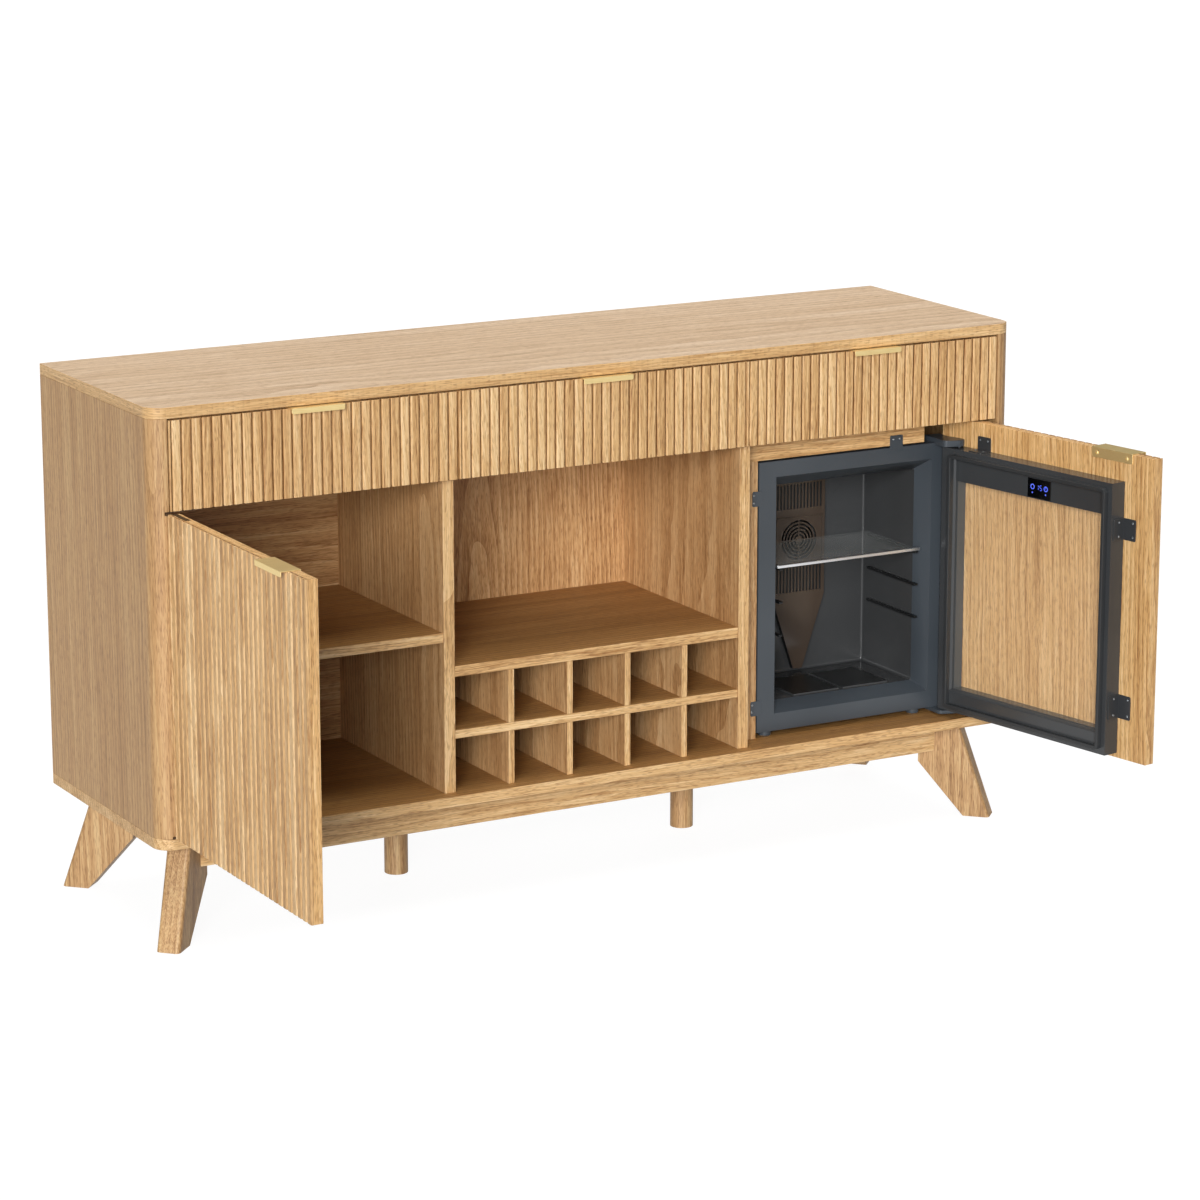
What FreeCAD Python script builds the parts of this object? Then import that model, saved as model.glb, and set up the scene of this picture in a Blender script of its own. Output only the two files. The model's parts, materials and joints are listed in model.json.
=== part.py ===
import FreeCAD
import Part
import math
import operator
import os
from collections import namedtuple
from types import SimpleNamespace

import Sketcher

# Bar cabinet in oak with fluted fronts: a cupboard on the left, an open niche with a bottle
# rack in the middle, a small glass-door fridge on the right and three drawers above.
#
# Millimetres. x runs right from the outer face of the left side, y runs back from the front
# edge of the top and z runs up from the floor. Each piece is drawn in these cabinet
# coordinates with doors and drawers shut. The two doors are then turned open about their
# pins, and the whole part is shifted so that its origin lies on the floor in the middle of
# the box that it fills with both doors open.

SIZES = {
    # Carcass
    "width": 1600,
    "depth": 450,
    "height": 880,
    "leg_height": 172,
    "panel": 18,
    "side": 30,
    "corner_radius": 30,
    "partition": 20,
    "niche": 536,
    "back_board": 8,
    "back_inset": 30,
    "divider_board": 12,
    "inner_setback": 22,
    # Fronts
    "front_board": 20,
    "behind_front": 0.5,
    "front_gap": 3,
    "side_gap": 2,
    "door_lift": 2,
    "drawer_front": 143,
    "slat_pitch": 17,
    "slat_relief": 4.8,
    "shoulder_width": 4.2,
    "shoulder_drop": 2.8,
    "groove": 2,
    "strip": 3.5,
    # Pulls bent from brass sheet
    "pull_width": 92,
    "pull_sheet": 1.5,
    "pull_reach": 11.5,
    "pull_lip": 9,
    "pull_plate": 16,
    "pull_corner": 3,
    "left_pull_inset": 60,
    "right_pull_inset": 48.5,
    # Shelves and bottle rack
    "left_shelf": 16.5,
    "left_shelf_share": 0.5133,
    "middle_shelf": 18,
    "rack_shelf": 14,
    "rack_row": 90,
    "rack_divider": 11,
    "rack_dividers": 4,
    # Base
    "rail_height": 57,
    "rail_board": 20,
    "rail_setback": 70,
    "leg_board": 40,
    "leg_turn": 45,
    "leg_round": 7,
    "foot_out": 19,
    "foot_in": 66,
    "leg_top_out": 79,
    "leg_top_in": 148,
    "leg_knee": 94,
    "centre_foot_radius": 20,
    # Left door and its pivot hinges
    "left_open": 90,
    "left_pin_inset": 3,
    "left_pin_depth": 1.5,
    "pivot_radius": 1.5,
    "pivot_play": 0.05,
    "pivot_eye": 3.5,
    "pivot_leaf": 1.2,
    "pivot_door_leaf": 2,
    "pivot_length": 55,
    "pivot_width": 10,
    "pivot_back": 6,
    "pivot_gap": 0.3,
    # Fridge housing
    "fridge_inset": 58,
    "fridge_gap": 2.5,
    "fridge_setback": 60,
    "fridge_back_gap": 12,
    "fridge_foot": 9.6,
    "fridge_foot_radius": 11,
    "fridge_foot_inset": 26.5,
    "fridge_foot_front": 18,
    "filler_width": 39.5,
    "header_height": 41.5,
    "header_gap": 3.5,
    "header_notch": 108,
    # Liner and cavity
    "liner_wall": 2,
    "bezel_side": 34,
    "bezel_foot": 30.4,
    "bezel_head": 27.5,
    "bevel_side": 16,
    "bevel_foot": 15,
    "bevel_head": 20.5,
    "bevel_depth": 30,
    "cavity_depth": 158,
    "cavity_round": 6,
    "rib_pitch": 58,
    "rib_height": 4,
    "rib_width": 7,
    "rib_front": 18,
    "rib_back": 22,
    "rib_top_share": 0.6217,
    "rib_count": 3,
    "tray_share": 0.3263,
    "tray_depth": 109,
    "tray_gap": 8,
    "tray_front": 5,
    "tray_rise": 3,
    # Air cover with its grilles
    "cover_width": 106,
    "cover_depth": 10,
    "cover_wall": 1.6,
    "cover_foot_width": 18,
    "cover_foot_rise": 5,
    "cover_neck_share": 0.36,
    "cover_top_drop": 25,
    "slot_width": 3.4,
    "slot_pitch": 6.8,
    "slot_count": 14,
    "upper_slot_low_share": 0.247,
    "upper_slot_high_share": 0.804,
    "lower_slot_low_share": 0.125,
    "lower_slot_high_share": 0.89,
    "fan_share": 0.627,
    "plate_width": 93,
    "plate_height": 84,
    "seam_width": 1.2,
    "seam_depth": 0.8,
    "ring_first": 7.5,
    "ring_pitch": 6.2,
    "ring_gap": 3.4,
    "ring_count": 5,
    "spoke": 2.6,
    # Fan behind the cover
    "well_radius": 37,
    "well_depth": 26,
    "fan_radius": 32,
    "fan_hub": 11,
    "fan_blade": 1.4,
    "fan_depth": 9,
    "fan_blades": 7,
    "fan_pitch": 35,
    "fan_gap": 1,
    "shaft_radius": 1.5,
    "motor_radius": 13,
    # Glass shelf
    "glass": 4,
    "glass_play": 1.5,
    "glass_lift": 0.2,
    "glass_stop": 3,
    "trim_height": 8,
    "trim_depth": 6,
    "trim_reach": 4,
    # Back of the fridge
    "sink_width": 150,
    "sink_low_share": 0.191,
    "sink_high_share": 0.7425,
    "sink_bay": 30,
    "sink_base": 5,
    "sink_fin": 2,
    "sink_pitch": 10,
    "rear_sheet": 2,
    "rear_lap": 12,
    "rear_slot": 5,
    "rear_slot_pitch": 18,
    "inlet_width": 30,
    "inlet_height": 22,
    "inlet_depth": 16,
    "inlet_wall": 2.5,
    "inlet_rise": 30,
    "inlet_inset": 40,
    "inlet_pin": 2,
    # Hinges and clips of the fridge
    "right_open": 100.5,
    "right_pin_inset": 56,
    "right_pin_depth": 30,
    "hinge_pin_radius": 3,
    "hinge_pin_length": 14,
    "hinge_arm": 31,
    "hinge_eye": 9,
    "hinge_top": 9,
    "hinge_seat": 30,
    "hinge_gap": 2.2,
    "hinge_foot": 6,
    "hinge_round_share": 0.95,
    "hinge_waist_share": 0.8,
    "clip_sheet": 1.5,
    "clip_width": 26,
    "clip_length": 22,
    "clip_lap": 4.5,
    "clip_low_rise": 31,
    "clip_high_drop": 74.4,
    "clip_top_inset": 108,
    # Glass door of the fridge
    "frame_inset": 4,
    "frame_overhang": 26,
    "frame_lift": 1,
    "frame_drop": 4.7,
    "frame_board": 30,
    "frame_rim": 21,
    "frame_hinge_rim": 34,
    "frame_foot_rim": 39.4,
    "frame_head_rim": 18.3,
    "frame_head_band": 38,
    "frame_step": 6,
    "frame_bevel": 4,
    "frame_round": 8,
    "pane": 4,
    "pane_lap": 6,
    "pane_lip": 1.5,
    "seal_width": 6,
    "seal_depth": 9.7,
    "seal_inset": 9,
    "seal_round": 8,
    "display_width": 54,
    "display_height": 33,
    "display_rise": 1.5,
    "display_share": 0.43,
    # Wooden door in front of the fridge
    "hinge_gap_side": 5,
    "door_round": 12,
    "door_clip_leg": 25,
    "door_clip_length": 28,
    "door_clip_low": 61,
    "door_clip_low_height": 41,
    "door_clip_high_drop": 98.3,
    "door_clip_high_height": 37,
    "door_clip_top_inset": 36,
    "door_clip_top_width": 31,
    "door_clip_top_height": 24,
    # Drawers
    "drawer_board": 12,
    "drawer_bottom_board": 6,
    "drawer_rise": 19,
    "drawer_height": 100,
    "drawer_back_gap": 42,
    "drawer_groove": 6,
    "runner_space": 12.7,
    "runner_height": 42,
    "runner_rise": 20,
    "runner_front": 8,
    "runner_back": 2,
    "runner_sheet": 1.2,
    "runner_channel": 9,
    "runner_play": 0.3,
    # Back panel behind the fridge
    "vent_width": 150,
    "vent_slot": 9,
    "vent_pitch": 24,
    "vent_count": 12,
    "vent_rise": 130,
    "cable_radius": 20,
    "cable_rise": 45,
    "cable_inset": 70,
    # One overrun serves all cuts
    "overrun": 1,
}

Circle = namedtuple("Circle", "across up radius")
OPERATORS = {"+": operator.add, "-": operator.sub, "*": operator.mul, "/": operator.truediv}
# The way in which a sketch plane's normal points along its axis
NORMALS = {"XY": 1, "XZ": -1, "YZ": 1}
FULL_TURN = 360
HALF_TURN = 180
QUARTERS = 4
# How a sketch numbers the points of a line or an arc
START = 1
END = 2
CENTRE = 3
# How it numbers its own two axes, the first of which starts at its origin
ORIGIN = -1
UP_AXIS = -2


class Size:
    """A number kept together with the sheet formula that gives it."""

    def __init__(self, number, formula):
        self.number = float(number)
        self.formula = formula

    def __float__(self):
        return self.number

    def __add__(self, other):
        return combined(self, "+", other)

    def __radd__(self, other):
        return combined(other, "+", self)

    def __sub__(self, other):
        return combined(self, "-", other)

    def __rsub__(self, other):
        return combined(other, "-", self)

    def __mul__(self, other):
        return combined(self, "*", other)

    def __rmul__(self, other):
        return combined(other, "*", self)

    def __truediv__(self, other):
        return combined(self, "/", other)

    def __neg__(self):
        return combined(0, "-", self)


def as_size(value):
    return value if isinstance(value, Size) else Size(value, repr(value))


def combined(left, sign, right):
    left = as_size(left)
    right = as_size(right)
    number = OPERATORS[sign](left.number, right.number)
    return Size(number, f"({left.formula} {sign} {right.formula})")


def cosine(angle):
    return Size(math.cos(math.radians(float(angle))), f"cos({angle.formula})")


def sine(angle):
    return Size(math.sin(math.radians(float(angle))), f"sin({angle.formula})")


def whole(value):
    """The nearest whole number, for a count of slats, slots or fins."""
    return Size(math.floor(float(value) + 1 / 2), f"floor({value.formula} + 1 / 2)")


doc = FreeCAD.newDocument("BarCabinet")
sheet = doc.addObject("Spreadsheet::Sheet", "Sizes")
for row, (alias, number) in enumerate(SIZES.items(), start=1):
    sheet.set(f"A{row}", alias)
    sheet.set(f"B{row}", str(number))
    sheet.setAlias(f"B{row}", alias)
doc.recompute()
s = SimpleNamespace(**{alias: Size(sheet.get(alias), f"Sizes.{alias}") for alias in SIZES})
subparts = []

# Heights and depths that several pieces share
floor_top = s.leg_height + s.panel
roof = s.height - s.panel
front_top = roof - s.front_gap
drawer_bottom = front_top - s.drawer_front
door_top = drawer_bottom - s.front_gap
door_bottom = floor_top + s.door_lift
inner_front = s.front_board + s.behind_front
back_rear = s.depth - s.back_inset
back_face = back_rear - s.back_board

# The three bays and the fronts that cover them, from left to right
inside_right = s.width - s.side
niche_left = (s.width - s.niche) / 2
niche_right = niche_left + s.niche
bays = {
    "left": (s.side, niche_left - s.partition),
    "middle": (niche_left, niche_right),
    "right": (niche_right + s.partition, inside_right),
}
half_gap = s.front_gap / 2
fronts = {
    "left": (s.side + s.side_gap, niche_left - half_gap),
    "middle": (niche_left + half_gap, niche_right - half_gap),
    "right": (niche_right + half_gap, inside_right - s.side_gap),
}
right_door_span = (fronts["right"][0], inside_right - s.hinge_gap_side)

# The fridge and its glass door, shut
filler_right = bays["right"][0] + s.filler_width
header_low = drawer_bottom - s.header_height
fridge_left = filler_right + s.fridge_gap
fridge_right = inside_right - s.fridge_inset
fridge_low = floor_top + s.fridge_foot
fridge_top = header_low - s.header_gap
fridge_middle = (fridge_left + fridge_right) / 2
fridge_front = s.fridge_setback
fridge_back = back_face - s.fridge_back_gap
frame_left = fridge_left + s.frame_inset
frame_low = fridge_low + s.frame_lift
frame_top = fridge_top - s.frame_drop
frame_back = s.front_board + s.frame_board

# The upright pins that the doors turn on, and how far each stands open
left_pin = (s.side - s.left_pin_inset, s.left_pin_depth)
right_pin = (inside_right - s.right_pin_inset, s.right_pin_depth)
frame_right = right_pin[0] + s.frame_overhang
TURNS = {"left_door": (left_pin, -s.left_open), "fridge_door": (right_pin, s.right_open)}


def turned(carrier, x, y):
    """Where a point of a shut door lies when that door stands open."""
    pin, angle = TURNS[carrier]
    across = x - pin[0]
    back = y - pin[1]
    return (
        pin[0] + across * cosine(angle) - back * sine(angle),
        pin[1] + across * sine(angle) + back * cosine(angle),
    )


right_pull_left = right_door_span[0] + s.right_pull_inset
reach_right = turned("fridge_door", right_pull_left, -s.pull_reach)[0]
reach_front = turned("left_door", fronts["left"][1], as_size(0))[1]
middle_x = reach_right / 2
middle_y = (reach_front + s.depth) / 2


def along(limits, share):
    """The place at a share of the way from one limit to the other."""
    return limits[0] + (limits[1] - limits[0]) * share


def grown(limits, by):
    return (limits[0] - by, limits[1] + by)


def bind(item, name, size):
    item.setExpression(name, as_size(size).formula)


def stand(item, carrier="cabinet", at=(0, 0, 0)):
    """Place an item at a point of the shut cabinet, turned with the door that carries it."""
    x, y, z = (as_size(value) for value in at)
    if carrier in TURNS:
        bind(item, "Placement.Rotation.Angle", TURNS[carrier][1])
        x, y = turned(carrier, x, y)
    bind(item, "Placement.Base.x", x - middle_x)
    bind(item, "Placement.Base.y", y - middle_y)
    bind(item, "Placement.Base.z", z)


def keep(item, label, carrier="cabinet", at=(0, 0, 0)):
    """Name an item as one of the cabinet's pieces and stand it in its place."""
    item.Label = label
    stand(item, carrier, at)
    subparts.append(item)
    return item


def block(x, y, z):
    """A board between low and high corners, for use inside a group or a cut."""
    item = doc.addObject("Part::Box", "Board")
    for name, (low, high) in zip(("Length", "Width", "Height"), (x, y, z)):
        bind(item, name, high - low)
    for axis, (low, high) in zip("xyz", (x, y, z)):
        bind(item, f"Placement.Base.{axis}", low)
    return item


def board(label, x, y, z, carrier="cabinet"):
    item = block(x, y, z)
    return keep(item, label, carrier, (x[0], y[0], z[0]))


def post(radius, x, y, z):
    """An upright round post between two heights."""
    item = doc.addObject("Part::Cylinder", "Post")
    bind(item, "Radius", radius)
    bind(item, "Height", z[1] - z[0])
    for axis, value in zip("xyz", (x, y, z[0])):
        bind(item, f"Placement.Base.{axis}", value)
    return item


def group(label, members, carrier="cabinet"):
    item = doc.addObject("Part::Compound", "Group")
    item.Links = members
    return keep(item, label, carrier)


def new_body(label):
    body = doc.addObject("PartDesign::Body", "Body")
    body.Label = label
    return body


def rectangle(across, up, radius=0):
    """The four corners between two pairs of limits."""
    (left, right), (low, high) = across, up
    return [(left, low, radius), (right, low, radius), (right, high, radius), (left, high, radius)]


def hold(sketch, constraint, size):
    index = sketch.addConstraint(constraint)
    if isinstance(size, Size):
        sketch.setExpression(f"Constraints[{index}]", size.formula)


def hold_point(sketch, geometry, end, across, up):
    """Hold a point of the sketch at its two distances from the sketch's origin."""
    for kind, axis, size in (("DistanceX", UP_AXIS, across), ("DistanceY", ORIGIN, up)):
        if isinstance(size, Size):
            distance = Sketcher.Constraint(kind, ORIGIN, START, geometry, end, float(size))
            hold(sketch, distance, size)
        else:
            hold(sketch, Sketcher.Constraint("PointOnObject", geometry, end, axis), size)


def draw_circle(sketch, circle):
    centre = FreeCAD.Vector(float(circle.across), float(circle.up), 0)
    upright = FreeCAD.Vector(0, 0, 1)
    index = sketch.addGeometry(Part.Circle(centre, upright, float(circle.radius)))
    hold_point(sketch, index, CENTRE, circle.across, circle.up)
    hold(sketch, Sketcher.Constraint("Radius", index, float(circle.radius)), circle.radius)


def corner_arc(before, point, after, radius):
    """The two tangent points, the centre and the turning sense of a rounded corner."""
    inward = (before - point).normalize()
    outward = (after - point).normalize()
    half_angle = inward.getAngle(outward) / 2
    reach = radius / math.tan(half_angle)
    start = point + inward * reach
    end = point + outward * reach
    centre = point + (inward + outward).normalize() * (radius / math.sin(half_angle))
    left_turn = inward.cross(outward).z < 0
    return start, end, centre, left_turn


def draw_outline(sketch, corners):
    """Draw a closed outline through corners, some of them rounded, and hold every corner."""
    corners = [corner if len(corner) > 2 else corner + (0,) for corner in corners]
    points = [FreeCAD.Vector(float(across), float(up), 0) for across, up, radius in corners]
    count = len(corners)
    ends = []
    for i, (across, up, radius) in enumerate(corners):
        if float(radius) == 0:
            ends.append((points[i], points[i], None, None))
        else:
            ends.append(corner_arc(points[i - 1], points[i], points[(i + 1) % count], float(radius)))
    lines = []
    for i in range(count):
        line = Part.LineSegment(ends[i][1], ends[(i + 1) % count][0])
        lines.append(sketch.addGeometry(line))
    for i, (across, up, radius) in enumerate(corners):
        start, end, centre, left_turn = ends[i]
        if centre is None:
            meeting = Sketcher.Constraint("Coincident", lines[i - 1], END, lines[i], START)
            sketch.addConstraint(meeting)
            hold_point(sketch, lines[i], START, across, up)
            continue
        first, last = (start, end) if left_turn else (end, start)
        angles = [math.atan2(p.y - centre.y, p.x - centre.x) for p in (first, last)]
        circle = Part.Circle(centre, FreeCAD.Vector(0, 0, 1), float(radius))
        arc = sketch.addGeometry(Part.ArcOfCircle(circle, angles[0], angles[1]))
        corner = sketch.addGeometry(Part.Point(points[i]), True)
        start_end, end_end = (START, END) if left_turn else (END, START)
        for constraint in (
            Sketcher.Constraint("Tangent", lines[i - 1], END, arc, start_end),
            Sketcher.Constraint("Tangent", lines[i], START, arc, end_end),
            Sketcher.Constraint("PointOnObject", corner, START, lines[i - 1]),
            Sketcher.Constraint("PointOnObject", corner, START, lines[i]),
        ):
            sketch.addConstraint(constraint)
        hold_point(sketch, corner, START, across, up)
        hold(sketch, Sketcher.Constraint("Radius", arc, float(radius)), radius)


def sketch_on(body, plane, at, loops, origin=(0, 0)):
    """A sketch on one of the body's planes, moved along its axis and to its own origin."""
    support = next(item for item in body.Origin.OriginFeatures if item.Role == f"{plane}_Plane")
    sketch = body.newObject("Sketcher::SketchObject", "Sketch")
    sketch.AttachmentSupport = [(support, "")]
    sketch.MapMode = "FlatFace"
    for axis, value in zip("xyz", (*origin, NORMALS[plane] * as_size(at))):
        bind(sketch, f"AttachmentOffset.Base.{axis}", value)
    for loop in loops:
        if isinstance(loop, Circle):
            draw_circle(sketch, loop)
        else:
            draw_outline(sketch, loop)
    return sketch


def add(body, plane, loops, low, high, origin=(0, 0)):
    """Add material between two places along the plane's axis."""
    base = low if NORMALS[plane] > 0 else high
    pad = body.newObject("PartDesign::Pad", "Pad")
    pad.Profile = sketch_on(body, plane, base, loops, origin)
    bind(pad, "Length", as_size(high) - low)
    return pad


def cut(body, plane, loops, low, high, origin=(0, 0)):
    """Take material away between two places along the plane's axis."""
    base = high if NORMALS[plane] > 0 else low
    pocket = body.newObject("PartDesign::Pocket", "Pocket")
    pocket.Profile = sketch_on(body, plane, base, loops, origin)
    bind(pocket, "Length", as_size(high) - low)
    return pocket


def round_off(body, radius, chosen):
    """Round the edges whose two ends pass the test."""
    doc.recompute()
    base = body.Tip
    names = []
    for number, edge in enumerate(base.Shape.Edges, start=1):
        ends = [vertex.Point for vertex in edge.Vertexes]
        if len(ends) == 2 and chosen(*ends):
            names.append(f"Edge{number}")
    fillet = body.newObject("PartDesign::Fillet", "Fillet")
    fillet.Base = (base, names)
    bind(fillet, "Radius", radius)
    return fillet


def near(value, size):
    return abs(value - float(size)) < SMALL


SMALL = 1e-4


def repeat(body, feature, direction, step, count):
    """Repeat a feature along one of its sketch's axes."""
    rows = body.newObject("PartDesign::LinearPattern", "Rows")
    rows.Originals = [feature]
    rows.Direction = (feature.Profile[0], [direction])
    bind(rows, "Length", step * (count - 1))
    bind(rows, "Occurrences", count)
    body.Tip = rows
    return rows


def turn_round(body, feature, axis, count):
    """Repeat a feature round an axis."""
    ring = body.newObject("PartDesign::PolarPattern", "Ring")
    ring.Originals = [feature]
    ring.Axis = axis
    ring.Angle = FULL_TURN
    bind(ring, "Occurrences", count)
    body.Tip = ring
    return ring


def slab(label, low, high):
    """The top or the bottom of the carcass, rounded at its two front corners."""
    body = new_body(label)
    corner = s.corner_radius
    outline = [(0, 0, corner), (s.width, 0, corner), (s.width, s.depth), (0, s.depth)]
    add(body, "XY", [outline], low, high)
    return keep(body, label)


def side_panel(label, left):
    """A side whose front is the quarter round that follows the corner of the top."""
    body = new_body(label)
    outer, inner = (as_size(0), s.side) if left else (s.width, inside_right)
    middle = s.width / 2
    first, last = (outer, middle) if left else (middle, outer)
    outline = [(first, 0), (last, 0), (last, s.depth), (first, s.depth)]
    rounded = 0 if left else 1
    outline[rounded] += (s.corner_radius,)
    add(body, "XY", [outline], floor_top, roof)
    past = s.overrun
    across = (inner, middle + past) if left else (middle - past, inner)
    cut(body, "XY", [rectangle(across, (-past, s.depth + past))], floor_top - past, roof + past)
    return body


def carcass():
    slab("bottom_panel", s.leg_height, floor_top)
    slab("top_panel", roof, s.height)
    left_side = side_panel("left_side_panel", True)
    # Small recesses in the front inner corner, where the pivots of the left door turn
    recess_reach = s.pivot_eye + s.pivot_radius / 2
    recess = rectangle(
        (left_pin[0] - recess_reach, s.side + s.overrun),
        (-s.overrun, left_pin[1] + recess_reach),
    )
    depth = s.door_lift + s.pivot_door_leaf + s.pivot_gap
    cut(left_side, "XY", [recess], floor_top - s.overrun, floor_top + depth)
    top_depth = s.front_gap + s.pivot_door_leaf + s.pivot_gap
    cut(left_side, "XY", [recess], drawer_bottom - top_depth, drawer_bottom)
    keep(left_side, "left_side_panel")
    keep(side_panel("right_side_panel", False), "right_side_panel")
    between = (floor_top, roof)
    deep = (inner_front, back_rear)
    board("left_partition", (bays["left"][1], niche_left), deep, between)
    board("right_partition", (niche_right, bays["right"][0]), deep, between)
    for name in ("left", "middle"):
        board(f"{name}_back_panel", bays[name], (back_face, back_rear), between)
    vented_back_panel(between)
    dividers = [
        block(span, (s.inner_setback, back_face), (drawer_bottom, drawer_bottom + s.divider_board))
        for span in bays.values()
    ]
    group("drawer_dividers", dividers)


def vented_back_panel(between):
    """The back behind the fridge, with rows of air slots and a round cable outlet."""
    body = new_body("right_back_panel")
    add(body, "XZ", [rectangle(bays["right"], between)], back_face, back_rear)
    low = floor_top + s.vent_rise
    deep = (back_face - s.overrun, back_rear + s.overrun)
    across = (fridge_middle - s.vent_width / 2, fridge_middle + s.vent_width / 2)
    first = cut(body, "XZ", [rectangle(across, (low, low + s.vent_slot))], *deep)
    repeat(body, first, "V_Axis", s.vent_pitch, s.vent_count)
    hole = Circle(bays["right"][1] - s.cable_inset, floor_top + s.cable_rise, s.cable_radius)
    cut(body, "XZ", [hole], *deep)
    keep(body, "right_back_panel")


def shelves():
    deep = (s.inner_setback, back_face)
    top = along((floor_top, drawer_bottom), s.left_shelf_share)
    board("left_shelf", bays["left"], deep, (top - s.left_shelf, top))
    low = floor_top + s.rack_row
    board("rack_shelf", bays["middle"], deep, (low, low + s.rack_shelf))
    high = low + s.rack_shelf + s.rack_row
    board("middle_shelf", bays["middle"], deep, (high, high + s.middle_shelf))
    dividers = []
    slot = (s.niche - s.rack_dividers * s.rack_divider) / (s.rack_dividers + 1)
    for bottom in (floor_top, low + s.rack_shelf):
        for i in range(int(s.rack_dividers.number)):
            left = niche_left + slot * (i + 1) + s.rack_divider * i
            dividers.append(block((left, left + s.rack_divider), deep, (bottom, bottom + s.rack_row)))
    group("rack_dividers", dividers)


def leg(label, x, y, angle):
    """A splayed plank that runs in from a corner of the carcass, drawn along that line."""
    body = new_body(label)
    outline = [
        (s.foot_out, 0),
        (s.foot_in, 0),
        (s.leg_top_in, s.leg_knee),
        (s.leg_top_in, s.leg_height),
        (s.leg_top_out, s.leg_height),
    ]
    half = s.leg_board / 2
    add(body, "XZ", [outline], -half, half)
    slope = (s.leg_top_out - s.foot_out) / s.leg_height

    def outer(p):
        return near(p.x, s.foot_out + slope * p.z)

    round_off(body, s.leg_round, lambda p, q: outer(p) and outer(q) and not near(p.z, q.z))
    keep(body, label, at=(x, y, 0))
    bind(body, "Placement.Rotation.Angle", angle)


def base():
    leg("front_left_leg", 0, 0, s.leg_turn)
    leg("front_right_leg", s.width, 0, HALF_TURN - s.leg_turn)
    leg("back_left_leg", 0, s.depth, -s.leg_turn)
    leg("back_right_leg", s.width, s.depth, s.leg_turn - HALF_TURN)
    rails = []
    for front in (True, False):
        rail = new_body("rail")
        corners = []
        for depth in (s.rail_setback, s.rail_setback + s.rail_board):
            # The end meets the flat side of the leg, half a plank off the corner's line
            end = (s.leg_board / 2 + depth * cosine(s.leg_turn)) / sine(s.leg_turn)
            corners.append((end, depth if front else s.depth - depth))
        outline = corners + [(s.width - x, y) for x, y in reversed(corners)]
        add(rail, "XY", [outline], s.leg_height - s.rail_height, s.leg_height)
        rails.append(rail)
    group("base_rails", rails)
    feet = []
    for x in (niche_left - s.partition / 2, niche_right + s.partition / 2):
        feet.append(post(s.centre_foot_radius, x, s.depth / 2, (0, s.leg_height)))
    group("centre_feet", feet)


def fluted_front(label, across, up, carrier="cabinet"):
    """A board with a narrow strip at its left edge and upright slats with sloping shoulders."""
    left, right = across
    body = new_body(label)
    add(body, "XY", [rectangle(across, (s.slat_relief, s.front_board))], *up)
    seat = s.slat_relief + s.overrun
    add(body, "XY", [rectangle((left, left + s.strip), (0, seat))], *up)
    start = left + s.strip + s.groove
    count = whole((right - start + s.groove) / s.slat_pitch)
    pitch = (right - start + s.groove) / count
    end = start + pitch - s.groove
    slat = [
        (start, seat),
        (start, s.shoulder_drop),
        (start + s.shoulder_width, 0),
        (end - s.shoulder_width, 0),
        (end, s.shoulder_drop),
        (end, seat),
    ]
    repeat(body, add(body, "XY", [slat], *up), "H_Axis", pitch, count)
    keep(body, label, carrier)
    return body


def pull(label, centre, top, carrier="cabinet"):
    """A brass pull hooked over the top edge of a front, with a plate inside and a lip outside."""
    body = new_body(label)
    sheet_top = top + s.pull_sheet
    plate_back = s.front_board + s.pull_sheet
    hook = [
        (plate_back, sheet_top),
        (-s.pull_reach, sheet_top),
        (-s.pull_reach, sheet_top - s.pull_lip),
        (s.pull_sheet - s.pull_reach, sheet_top - s.pull_lip),
        (s.pull_sheet - s.pull_reach, top),
        (s.front_board, top),
        (s.front_board, top - s.pull_plate),
        (plate_back, top - s.pull_plate),
    ]
    half = s.pull_width / 2
    add(body, "YZ", [hook], centre - half, centre + half)
    lows = (sheet_top - s.pull_lip, top - s.pull_plate)
    round_off(
        body,
        s.pull_corner,
        lambda p, q: near(p.x, q.x) and any(near(p.z, z) and near(q.z, z) for z in lows),
    )
    keep(body, label, carrier)


def left_door():
    door = fluted_front("left_door", fronts["left"], (door_bottom, door_top), "left_door")
    left = fronts["left"][0]
    width = (s.pivot_back, s.pivot_back + s.pivot_width)
    across = (left - s.overrun, left + s.pivot_length)
    leaf = s.pivot_door_leaf
    past = s.overrun
    cut(door, "XY", [rectangle(across, width)], door_bottom - past, door_bottom + leaf)
    cut(door, "XY", [rectangle(across, width)], door_top - leaf, door_top + past)
    pull_centre = fronts["left"][1] - s.left_pull_inset - s.pull_width / 2
    pull("left_door_pull", pull_centre, door_top, "left_door")
    pivots()


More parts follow.
